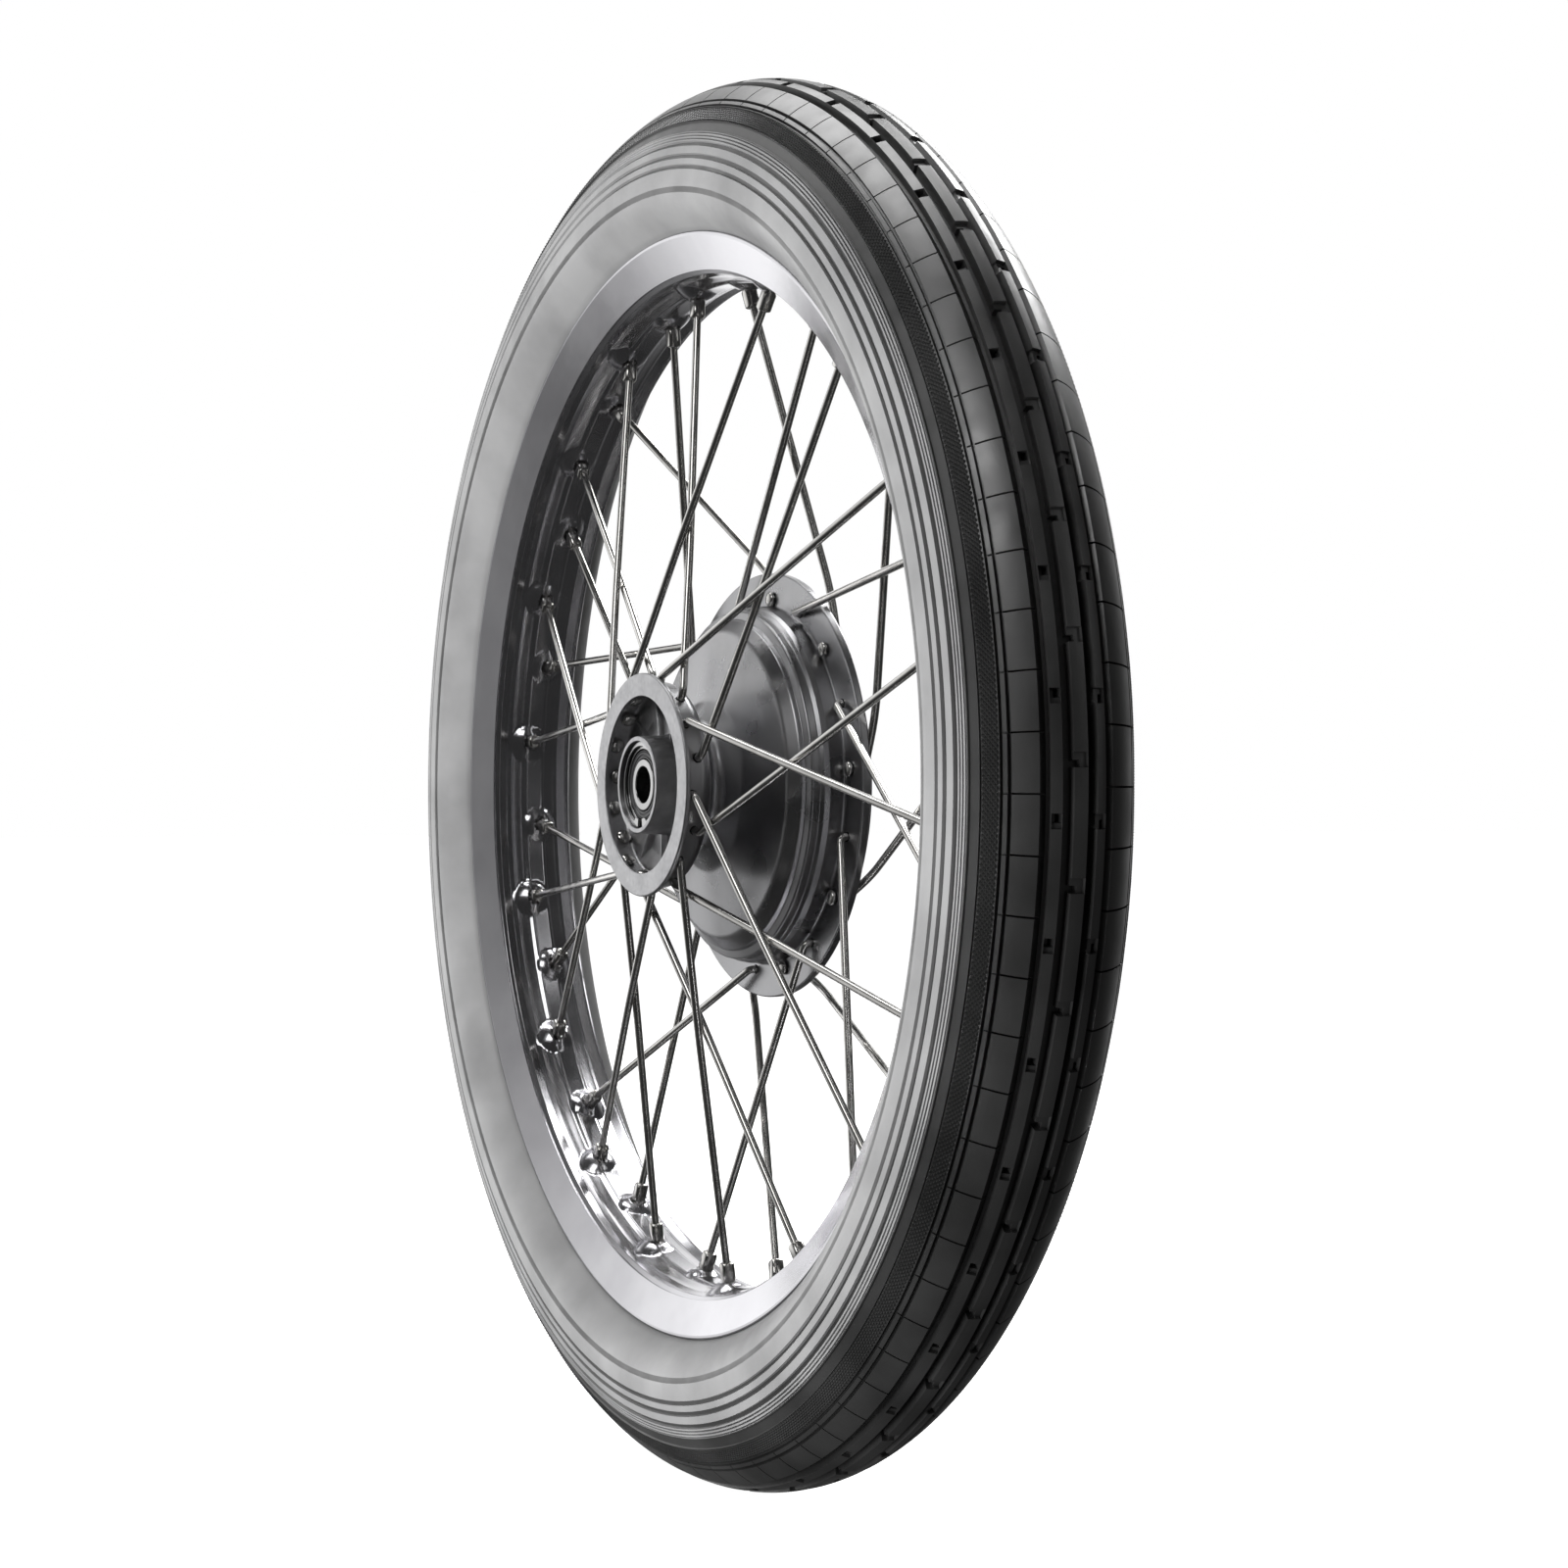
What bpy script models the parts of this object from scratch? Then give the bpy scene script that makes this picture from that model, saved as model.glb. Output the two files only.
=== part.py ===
"""A spoked motorcycle front wheel: ribbed tube-type tyre on a 19 inch aluminium rim, 36 spokes laced to a
half-width drum brake hub that turns on two ball bearings.

Metres, +Z up. The origin is the wheel's centre, the axle lies along Y, the small spoke cup is on the -Y side
and the brake drum on the +Y side.
"""

from math import cos, pi, radians, sin

import bmesh
import bpy
from mathutils import Matrix, Vector

# ---- clearances ----
GAP = 0.0003
RUNNING_GAP = 0.0004

# ---- rim, 19 inch x 1.85 ----
RIM_LIP_RADIUS = 0.2553
RIM_LIP_HALF_WIDTH = 0.0285
RIM_LIP_THICKNESS = 0.0030
BEAD_SEAT_RADIUS = 0.2413
BEAD_SEAT_HALF_WIDTH = 0.0198
WELL_RADIUS = 0.2378
WELL_HALF_WIDTH = 0.0085
WELL_SLOPE_WIDTH = 0.0030
RIM_WALL = 0.0032
SIDE_BAND_FOOT = 0.0214
SIDE_BAND_STEP_HEIGHT = 0.0016
SIDE_BAND_STEP_WIDTH = 0.0024

# ---- tyre, 3.50-19 ----
TYRE_RADIUS = 0.3260
TYRE_WIDEST_RADIUS = 0.2740
TYRE_HALF_WIDTH = 0.0420
SIDEWALL_THICKNESS = 0.0050
TREAD_THICKNESS = 0.0110
BEAD_HEIGHT = 0.0105
BEAD_TOE_WIDTH = 0.0040
FOOT_OVERHANG = 0.0010
LOWER_SIDEWALL_SHARE = 0.93
LOWER_SIDEWALL_DIP = 0.0015

# ---- tube and rim tape ----
TUBE_WALL = 0.0022
TUBE_CLEARANCE = 0.0014
TAPE_THICKNESS = 0.0008
TAPE_HALF_WIDTH = 0.0080

# ---- spokes and nipples ----
SPOKE_COUNT = 36
RIM_HOLE_PHASE = radians(4.3)
CROSS_ANGLE = radians(40.0)
RIM_HOLE_OFFSET = 0.0023
SPOKE_RADIUS = 0.00183
SPOKE_HEAD_RADIUS = 0.0032
SPOKE_HEAD_HEIGHT = 0.0022
SPOKE_BEND = 0.0030
NIPPLE_RADIUS = 0.0030
NIPPLE_LENGTH = 0.0120
NIPPLE_HEAD_RADIUS = 0.0042
NIPPLE_HEAD_HEIGHT = 0.0016
NIPPLE_HEAD_LIFT = 0.0018
NIPPLE_HOLE_LENGTH = 0.0150
NIPPLE_HOLE_START = 0.0090
SPOKE_SIDES = 6
RADIUS_STEP_LENGTH = 0.0002
FLANGE_EDGE_SHARE = 0.15
CUP_CROSSING_SHARE = 0.365

# ---- hub: spoke cup on the -Y side ----
CUP_FACE_Y = -0.0403
CUP_WALL = 0.0036
CUP_INNER_RADIUS = 0.0445
CUP_LIP_RADIUS = CUP_INNER_RADIUS + CUP_WALL + 0.0039
CUP_LIP_INNER_RADIUS = CUP_INNER_RADIUS - 0.0033
CUP_LIP_THICKNESS = 0.0017
CUP_FLOOR_Y = -0.0260
CUP_ROW_Y = -0.0341
CUP_ROW_STEP = 0.0022
RIB_COUNT = 11
RIB_THICKNESS = 0.0016
RIB_HEIGHT = 0.0032
RIB_BOSS_OVERLAP = 0.0012
RIB_WALL_DISTANCE = 0.0020
RIB_FLOOR_OVERLAP = 0.0005

# ---- hub: brake drum shell on the +Y side ----
NECK_RADIUS = 0.0290
DRUM_FACE_RADIUS = 0.0775
DRUM_STEP_RADIUS = 0.0820
DRUM_SHELL_RADIUS = 0.0840
DRUM_MOUTH_RADIUS = 0.0845
DRUM_MOUTH_Y = 0.0370
DRUM_WALL = 0.0038
DRUM_FACE_WALL = 0.0042
LINER_SEAT_DEPTH = 0.0022
FLANGE_RADIUS = 0.1003
FLANGE_FACE_Y = 0.0238
FLANGE_THICKNESS = 0.0040
FLANGE_HOLE_RADIUS = 0.0880

# ---- brake liner ----
LINER_THICKNESS = 0.0042
LINER_DEPTH = 0.0265

# ---- bearings, 17 x 40 x 12 ----
BEARING_BORE_RADIUS = 0.0085
BEARING_RADIUS = 0.0200
BEARING_WIDTH = 0.0120
BALL_COUNT = 8
BALL_CIRCLE_RADIUS = (BEARING_BORE_RADIUS + BEARING_RADIUS) / 2
BALL_RADIUS = 0.287 * (BEARING_RADIUS - BEARING_BORE_RADIUS)
RACE_WALL = 0.296 * (BEARING_RADIUS - BEARING_BORE_RADIUS)
CAGE_HALF_WALL = 0.0009
CAGE_HALF_WIDTH = 0.0018
BOSS_WALL = 0.0022
BOSS_FACE_Y = -0.0420
CIRCLIP_THICKNESS = 0.0012
CIRCLIP_RING_WIDTH = 0.0020
CIRCLIP_RECESS = 0.0016
RIGHT_BEARING_Y = 0.0180
SEAL_THICKNESS = 0.0010
SPACER_WALL = 0.0028
HUB_BORE_CLEARANCE = 0.0025
SEAL_RECESS = 0.0004
CIRCLIP_GAP_SIZE = (0.0060, 0.0060, 0.0050)

# ---- valve ----
VALVE_HOLE_INDEX = 34.5
VALVE_STEM_RADIUS = 0.0038
VALVE_STEM_LENGTH = 0.0300
VALVE_NUT_RADIUS = 0.0075
VALVE_NUT_HEIGHT = 0.0040
VALVE_CAP_RADIUS = 0.0050
VALVE_CAP_LENGTH = 0.0090
VALVE_CORE_RADIUS = 0.0018
VALVE_FOOT_LIFT = 0.0035
VALVE_SIDES = 8

# ---- facets ----
WHEEL_SEGMENTS = 60
TUBE_SEGMENTS = 36
HUB_SEGMENTS = 36
BEARING_SEGMENTS = 18
TREAD_STEPS = 8
CASING_STEPS = 6

AXLE = Vector((0, 1, 0))


def clear_scene():
    for obj in list(bpy.data.objects):
        bpy.data.objects.remove(obj)


def material(name, colour, roughness, metallic):
    found = bpy.data.materials.get(name)
    if found:
        return found
    made = bpy.data.materials.new(name)
    made.use_nodes = True
    shader = made.node_tree.nodes["Principled BSDF"]
    shader.inputs["Base Color"].default_value = (*colour, 1)
    shader.inputs["Roughness"].default_value = roughness
    shader.inputs["Metallic"].default_value = metallic
    return made


def rubber():
    return material("black_rubber", (0.025, 0.025, 0.027), 0.55, 0)


def aluminium():
    return material("polished_aluminium", (0.80, 0.80, 0.81), 0.18, 1)


def steel():
    return material("bright_steel", (0.62, 0.61, 0.59), 0.22, 1)


def iron():
    return material("grey_iron", (0.28, 0.27, 0.26), 0.45, 1)


def brass():
    return material("brass", (0.72, 0.55, 0.28), 0.30, 1)


def finish(name, mesh_data, surface, parent=None):
    """Makes the mesh data a shaded object with one material, hung under its parent."""
    obj = bpy.data.objects.new(name, mesh_data)
    bpy.context.scene.collection.objects.link(obj)
    mesh_data.materials.append(surface)
    mesh_data.shade_smooth()
    mesh_data.set_sharp_from_angle(angle=radians(32))
    obj.parent = parent
    return obj


def to_mesh(name, shape):
    bmesh.ops.recalc_face_normals(shape, faces=shape.faces)
    mesh = bpy.data.meshes.new(name)
    shape.to_mesh(mesh)
    shape.free()
    return mesh


def turned(name, profile, segments, start=0.0):
    """A closed ring turned about the Y axis from a loop of (radius, y) points."""
    shape = bmesh.new()
    rings = []
    for step in range(segments):
        turn = start + 2 * pi * step / segments
        rings.append([shape.verts.new((r * cos(turn), y, r * sin(turn))) for r, y in profile])
    count = len(profile)
    for step, ring in enumerate(rings):
        following = rings[(step + 1) % segments]
        for i in range(count):
            j = (i + 1) % count
            shape.faces.new((ring[i], ring[j], following[j], following[i]))
    return to_mesh(name, shape)


def box_ring(inner, outer, low_y, high_y):
    return [(inner, low_y), (outer, low_y), (outer, high_y), (inner, high_y)]


def swept(name, points, radii, sides, reference):
    """A closed rod through the points, with its own radius at each of them."""
    shape = bmesh.new()
    rings = []
    for i, point in enumerate(points):
        ahead = points[min(i + 1, len(points) - 1)] - points[max(i - 1, 0)]
        along = ahead.normalized()
        across = (reference - along * reference.dot(along)).normalized()
        other = along.cross(across)
        ring = []
        for side in range(sides):
            turn = 2 * pi * (side + 0.5) / sides
            ring.append(shape.verts.new(point + (across * cos(turn) + other * sin(turn)) * radii[i]))
        rings.append(ring)
    for ring, following in zip(rings, rings[1:]):
        for i in range(sides):
            j = (i + 1) % sides
            shape.faces.new((ring[i], ring[j], following[j], following[i]))
    shape.faces.new(rings[0])
    shape.faces.new(rings[-1])
    return to_mesh(name, shape)


def cutter(name, mesh_data):
    tool = bpy.data.objects.new(name, mesh_data)
    bpy.context.scene.collection.objects.link(tool)
    tool.hide_render = True
    tool.display_type = "WIRE"
    return tool


def joined_mesh(name, meshes):
    """One mesh that holds several shapes side by side."""
    shape = bmesh.new()
    for mesh in meshes:
        shape.from_mesh(mesh)
        bpy.data.meshes.remove(mesh)
    made = bpy.data.meshes.new(name)
    shape.to_mesh(made)
    shape.free()
    return made


def boolean(obj, tool, operation):
    change = obj.modifiers.new(tool.name, "BOOLEAN")
    change.operation = operation
    change.object = tool
    change.solver = "EXACT"
    change.use_self = False


def around(radius, angle, y):
    """The point at this radius and angle about the axle."""
    return Vector((radius * cos(angle), y, radius * sin(angle)))


# ---- spoke geometry, shared by the spokes, the rim holes and the hub holes ----


def rim_angle(index):
    return RIM_HOLE_PHASE + 2 * pi * index / SPOKE_COUNT


def is_drum_side(index):
    return index % 2 == 0


def leads(index):
    """True when the spoke's hub hole lies ahead of its rim hole."""
    return (index // 2) % 2 == 1


def hub_angle(index):
    return rim_angle(index) + (CROSS_ANGLE if leads(index) else -CROSS_ANGLE)


def rim_end(index):
    y = RIM_HOLE_OFFSET if is_drum_side(index) else -RIM_HOLE_OFFSET
    return around(WELL_RADIUS, rim_angle(index), y)


def cup_row(index):
    return CUP_ROW_Y + (-CUP_ROW_STEP / 2 if leads(index) else CUP_ROW_STEP / 2)


def cup_outer_radius():
    return CUP_INNER_RADIUS + CUP_WALL


def elbow_stand_off():
    return SPOKE_BEND + GAP


def spoke_elbow(index):
    """The corner where the shank that comes out of its hole turns into the run to the rim."""
    if is_drum_side(index):
        back = FLANGE_FACE_Y + FLANGE_THICKNESS
        y = FLANGE_FACE_Y - elbow_stand_off() if leads(index) else back + elbow_stand_off()
        return around(FLANGE_HOLE_RADIUS, hub_angle(index), y)
    side = -1 if leads(index) else 1
    y = CUP_ROW_Y + side * crossing_spread()
    return around(cup_outer_radius() + elbow_stand_off(), hub_angle(index), y)


def crossing_spread():
    """Half the distance between the middles of two spokes that pass each other."""
    return SPOKE_RADIUS + RUNNING_GAP / 2


def spoke_head(index):
    """The seat of the spoke's head, and the direction in which the head stands up from it."""
    if is_drum_side(index):
        outward = AXLE if leads(index) else -AXLE
        seat_y = FLANGE_FACE_Y + FLANGE_THICKNESS + GAP if leads(index) else FLANGE_FACE_Y - GAP
        return around(FLANGE_HOLE_RADIUS, hub_angle(index), seat_y), outward
    seat = around(CUP_INNER_RADIUS * cos(pi / HUB_SEGMENTS) - 2 * GAP, hub_angle(index), cup_row(index))
    return seat, (seat - spoke_elbow(index)).normalized()


def run_middle(index):
    """A point that the run to the rim passes: the flange's edge, or the place where two spokes cross."""
    elbow = spoke_elbow(index)
    end = rim_end(index)
    if is_drum_side(index):
        if leads(index):
            return elbow.lerp(end, 0.5)
        edge = elbow.lerp(end, FLANGE_EDGE_SHARE)
        edge.y = FLANGE_FACE_Y + FLANGE_THICKNESS + SPOKE_RADIUS + 2 * GAP
        return edge
    middle = elbow.lerp(end, CUP_CROSSING_SHARE)
    straight = CUP_ROW_Y + (end.y - CUP_ROW_Y) * CUP_CROSSING_SHARE
    middle.y = straight + crossing_spread() * (-1 if leads(index) else 1)
    return middle


def run_direction(index):
    """The direction in which the spoke reaches its hole in the rim."""
    return (rim_end(index) - run_middle(index)).normalized()


def spoke(index, parent):
    """A headed spoke with its nipple screwed on, ready in the wheel."""
    seat, outward = spoke_head(index)
    elbow = spoke_elbow(index)
    middle = run_middle(index)
    end = rim_end(index)
    along = run_direction(index)
    leaving = (middle - elbow).normalized()
    bend_start = elbow - (elbow - seat).normalized() * SPOKE_BEND
    bend_end = elbow + leaving * SPOKE_BEND
    nipple_start = end - along * NIPPLE_LENGTH
    head_low = end + along * NIPPLE_HEAD_LIFT
    step = RADIUS_STEP_LENGTH
    stations = [
        (seat + outward * SPOKE_HEAD_HEIGHT, SPOKE_HEAD_RADIUS * 0.5),
        (seat + outward * SPOKE_HEAD_HEIGHT * 0.4, SPOKE_HEAD_RADIUS),
        (seat, SPOKE_HEAD_RADIUS * 0.85),
        (seat - outward * step, SPOKE_RADIUS),
        (bend_start, SPOKE_RADIUS),
        (elbow.lerp((bend_start + bend_end) / 2, 0.4), SPOKE_RADIUS),
        (bend_end, SPOKE_RADIUS),
        (middle, SPOKE_RADIUS),
        (nipple_start, SPOKE_RADIUS),
        (nipple_start + along * step, NIPPLE_RADIUS),
        (head_low - along * step, NIPPLE_RADIUS),
        (head_low, NIPPLE_HEAD_RADIUS),
        (head_low + along * NIPPLE_HEAD_HEIGHT, NIPPLE_HEAD_RADIUS * 0.8),
    ]
    points = [point for point, radius in stations]
    radii = [radius for point, radius in stations]
    side = "drum" if is_drum_side(index) else "cup"
    name = f"spoke_{side}_{index // 2 + 1:02d}"
    return finish(name, swept(name, points, radii, SPOKE_SIDES, AXLE.cross(along)), steel(), parent)


def rod_between(name, start, end, radius, reference):
    return swept(name, [start, end], [radius, radius], SPOKE_SIDES, reference)


# ---- rim ----


def rim_profile():
    """The section: from the well out to the +Y lip and back along the hub side, then its mirror image."""
    hub_side = WELL_RADIUS - RIM_WALL
    lip_inner = RIM_LIP_HALF_WIDTH - RIM_LIP_THICKNESS
    half = [
        (WELL_RADIUS, WELL_HALF_WIDTH),
        (BEAD_SEAT_RADIUS, WELL_HALF_WIDTH + WELL_SLOPE_WIDTH),
        (BEAD_SEAT_RADIUS, BEAD_SEAT_HALF_WIDTH),
        (RIM_LIP_RADIUS, lip_inner),
        (RIM_LIP_RADIUS, RIM_LIP_HALF_WIDTH),
        (BEAD_SEAT_RADIUS - RIM_WALL, SIDE_BAND_FOOT),
        (BEAD_SEAT_RADIUS - RIM_WALL - SIDE_BAND_STEP_HEIGHT, SIDE_BAND_FOOT - SIDE_BAND_STEP_WIDTH),
        (hub_side, WELL_HALF_WIDTH - GAP),
    ]
    return half + [(r, -y) for r, y in reversed(half)]


def nipple_hole(index):
    """The hole through the rim's floor, in line with its spoke."""
    along = run_direction(index)
    start = rim_end(index) - along * NIPPLE_HOLE_START
    end = start + along * NIPPLE_HOLE_LENGTH
    return rod_between("hole", start, end, nipple_hole_radius(), AXLE.cross(along))


def nipple_hole_radius():
    return NIPPLE_RADIUS + GAP / cos(pi / SPOKE_SIDES)


def valve_angle():
    return rim_angle(VALVE_HOLE_INDEX)


def valve_hole_radius():
    return (VALVE_STEM_RADIUS + GAP) / cos(pi / SPOKE_SIDES)


def rim(parent):
    half_facet = pi / WHEEL_SEGMENTS
    obj = finish(
        "rim", turned("rim", rim_profile(), WHEEL_SEGMENTS, RIM_HOLE_PHASE + half_facet), aluminium(), parent
    )
    holes = [nipple_hole(index) for index in range(SPOKE_COUNT)]
    radial = around(1, valve_angle(), 0)
    floor_low = radial * (WELL_RADIUS - 4 * RIM_WALL)
    holes.append(rod_between("hole", floor_low, radial * (WELL_RADIUS + RIM_WALL), valve_hole_radius(), AXLE))
    boolean(obj, cutter("rim_holes", joined_mesh("rim_holes", holes)), "DIFFERENCE")
    return obj


# ---- tyre, tube and tape ----


def tyre_arc(crown, half_width, steps):
    """Points over the crown from one widest point to the other."""
    turns = [pi * (i / steps - 0.5) for i in range(steps + 1)]
    return [(TYRE_WIDEST_RADIUS + crown * cos(turn), half_width * sin(turn)) for turn in turns]


def tyre_foot():
    """Where the outside of the sidewall comes down on the rim's lip."""
    return RIM_LIP_RADIUS + 2 * GAP, RIM_LIP_HALF_WIDTH + FOOT_OVERHANG


def tyre_outer():
    """Points round the outside from the -Y lip of the rim, over the crown, to the +Y lip."""
    foot_radius, foot_y = tyre_foot()
    middle_radius = (TYRE_WIDEST_RADIUS + foot_radius) / 2 - LOWER_SIDEWALL_DIP
    side = [(middle_radius, TYRE_HALF_WIDTH * LOWER_SIDEWALL_SHARE), (foot_radius, foot_y)]
    arc = tyre_arc(TYRE_RADIUS - TYRE_WIDEST_RADIUS, TYRE_HALF_WIDTH, TREAD_STEPS)
    return [(r, -y) for r, y in reversed(side)] + arc + side


def bead_toe():
    """The thin inner edge of the bead, which the casing's inside runs down to."""
    return BEAD_SEAT_RADIUS + 2 * GAP + BEAD_HEIGHT, BEAD_SEAT_HALF_WIDTH - BEAD_TOE_WIDTH


def bead(side):
    """The bead that sits on the rim's seat, from the flange's inner face to the toe."""
    lip_inner = RIM_LIP_HALF_WIDTH - RIM_LIP_THICKNESS
    seat = BEAD_SEAT_RADIUS + GAP * 2
    slope = (lip_inner - BEAD_SEAT_HALF_WIDTH) / (RIM_LIP_RADIUS - BEAD_SEAT_RADIUS)
    top = RIM_LIP_RADIUS + GAP * 2
    top_y = BEAD_SEAT_HALF_WIDTH + slope * (top - BEAD_SEAT_RADIUS) - 2 * GAP
    toe_y = WELL_HALF_WIDTH + WELL_SLOPE_WIDTH + 2 * GAP
    points = [
        (top, top_y),
        (seat, BEAD_SEAT_HALF_WIDTH - 2 * GAP),
        (seat, toe_y),
        bead_toe(),
    ]
    return [(r, side * y) for r, y in points]


def tyre_inner():
    """The casing's inside, a thinner copy of the outside."""
    crown = TYRE_RADIUS - TREAD_THICKNESS - TYRE_WIDEST_RADIUS
    return tyre_arc(crown, TYRE_HALF_WIDTH - SIDEWALL_THICKNESS, CASING_STEPS)


def tyre(parent):
    profile = tyre_outer() + bead(1) + list(reversed(tyre_inner())) + list(reversed(bead(-1)))
    return finish("tyre", turned("tyre", profile, WHEEL_SEGMENTS, RIM_HOLE_PHASE), rubber(), parent)


def tube_outline(inset):
    """The tube's section, which follows the casing at this distance and stands on the rim tape."""
    crown = TYRE_RADIUS - TREAD_THICKNESS - TYRE_WIDEST_RADIUS - inset
    foot_radius = tape_outer_radius() / cos(pi / TUBE_SEGMENTS) + inset
    foot_half_width = TAPE_HALF_WIDTH - inset
    toe_radius, toe_y = bead_toe()
    foot = [(toe_radius, toe_y - inset), (foot_radius, foot_half_width)]
    arc = tyre_arc(crown, TYRE_HALF_WIDTH - SIDEWALL_THICKNESS - inset, CASING_STEPS)
    return arc + foot + [(r, -y) for r, y in reversed(foot)]


def tape_inner_radius():
    """The tape lies on the nipples' heads."""
    return WELL_RADIUS + NIPPLE_HEAD_LIFT + NIPPLE_HEAD_HEIGHT + NIPPLE_HEAD_RADIUS * 0.36 + GAP


def tape_outer_radius():
    return tape_inner_radius() + TAPE_THICKNESS


def inner_tube(parent):
    """The tube, a ring with air inside, open at the valve's foot."""
    start = valve_angle() + pi / TUBE_SEGMENTS
    outside = turned("tube_outside", tube_outline(TUBE_CLEARANCE), TUBE_SEGMENTS, start)
    obj = finish("inner_tube", outside, rubber(), parent)
    inside = turned("tube_inside", tube_outline(TUBE_CLEARANCE + TUBE_WALL), TUBE_SEGMENTS, start)
    boolean(obj, cutter("tube_air", inside), "DIFFERENCE")
    radial = around(1, valve_angle(), 0)
    hole = rod_between(
        "tube_hole", radial * (tape_outer_radius() - 0.002), radial * (tape_outer_radius() + 0.012),
        valve_hole_radius(), AXLE,
    )
    boolean(obj, cutter("tube_valve_hole", hole), "DIFFERENCE")
    return obj


def rim_tape(parent):
    profile = box_ring(tape_inner_radius(), tape_outer_radius(), -TAPE_HALF_WIDTH, TAPE_HALF_WIDTH)
    obj = finish("rim_tape", turned("rim_tape", profile, WHEEL_SEGMENTS, RIM_HOLE_PHASE), rubber(), parent)
    radial = around(1, valve_angle(), 0)
    hole = rod_between(
        "tape_hole", radial * (tape_inner_radius() - 0.005), radial * (tape_outer_radius() + 0.005),
        valve_hole_radius(), AXLE,
    )
    boolean(obj, cutter("tape_hole", hole), "DIFFERENCE")
    return obj


# ---- valve ----


def valve(parent):
    """The tube's valve, which points from the rim's floor towards the hub: stem, rim nut, core and cap."""
    radial = around(1, valve_angle(), 0)
    foot = tape_outer_radius() + TUBE_WALL + VALVE_FOOT_LIFT
    tip = foot - VALVE_STEM_LENGTH
    core_radius = VALVE_CORE_RADIUS + GAP

    def tube_rod(name, low, high, outer, inner):
        profile = box_ring(inner, outer, low, high)
        mesh = turned(name, profile, VALVE_SIDES)
        mesh.transform(Matrix.Rotation(-pi / 2, 4, "X").inverted())
        mesh.transform(Vector((0, 0, 1)).rotation_difference(radial).to_matrix().to_4x4())
        return mesh

    finish("valve_stem", tube_rod("valve_stem", tip, foot, VALVE_STEM_RADIUS, core_radius), brass(), parent)
    nut_inner = VALVE_STEM_RADIUS / cos(pi / VALVE_SIDES) + GAP
    nut_high = (WELL_RADIUS - RIM_WALL) * cos(pi / WHEEL_SEGMENTS) - GAP
    finish(
        "valve_rim_nut",
        tube_rod("valve_rim_nut", nut_high - VALVE_NUT_HEIGHT, nut_high, VALVE_NUT_RADIUS, nut_inner),
        steel(),
        parent,
    )
    core = swept(
        "valve_core",
        [radial * (tip + 0.001), radial * (tip + 0.008), radial * (foot - 0.004)],
        [VALVE_CORE_RADIUS * 0.8, VALVE_CORE_RADIUS, VALVE_CORE_RADIUS * 0.6],
        6,
        AXLE,
    )
    finish("valve_core", core, brass(), parent)
    cap_stations = [
        (tip - 0.0035, VALVE_CAP_RADIUS * 0.75),
        (tip - 0.0025, VALVE_CAP_RADIUS),
        (tip - 0.0025 + VALVE_CAP_LENGTH, VALVE_CAP_RADIUS),
    ]
    cap = swept(
        "valve_cap",
        [radial * r for r, wide in cap_stations],
        [wide for r, wide in cap_stations],
        VALVE_SIDES,
        AXLE,
    )
    cap_obj = finish("valve_cap", cap, rubber(), parent)
    hollow = rod_between(
        "cap_hollow", radial * (tip - 0.0008), radial * (tip + VALVE_CAP_LENGTH), valve_hole_radius(), AXLE
    )
    boolean(cap_obj, cutter("cap_hollow", hollow), "DIFFERENCE")


# ---- hub ----


def bearing_seat_radius():
    return BEARING_RADIUS + GAP


def left_bearing_y():
    """The middle of the cup side's bearing, behind its circlip."""
    return BOSS_FACE_Y + CIRCLIP_RECESS + CIRCLIP_THICKNESS + GAP + BEARING_WIDTH / 2


def bore_radius():
    return BEARING_BORE_RADIUS + SPACER_WALL + HUB_BORE_CLEARANCE


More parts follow.
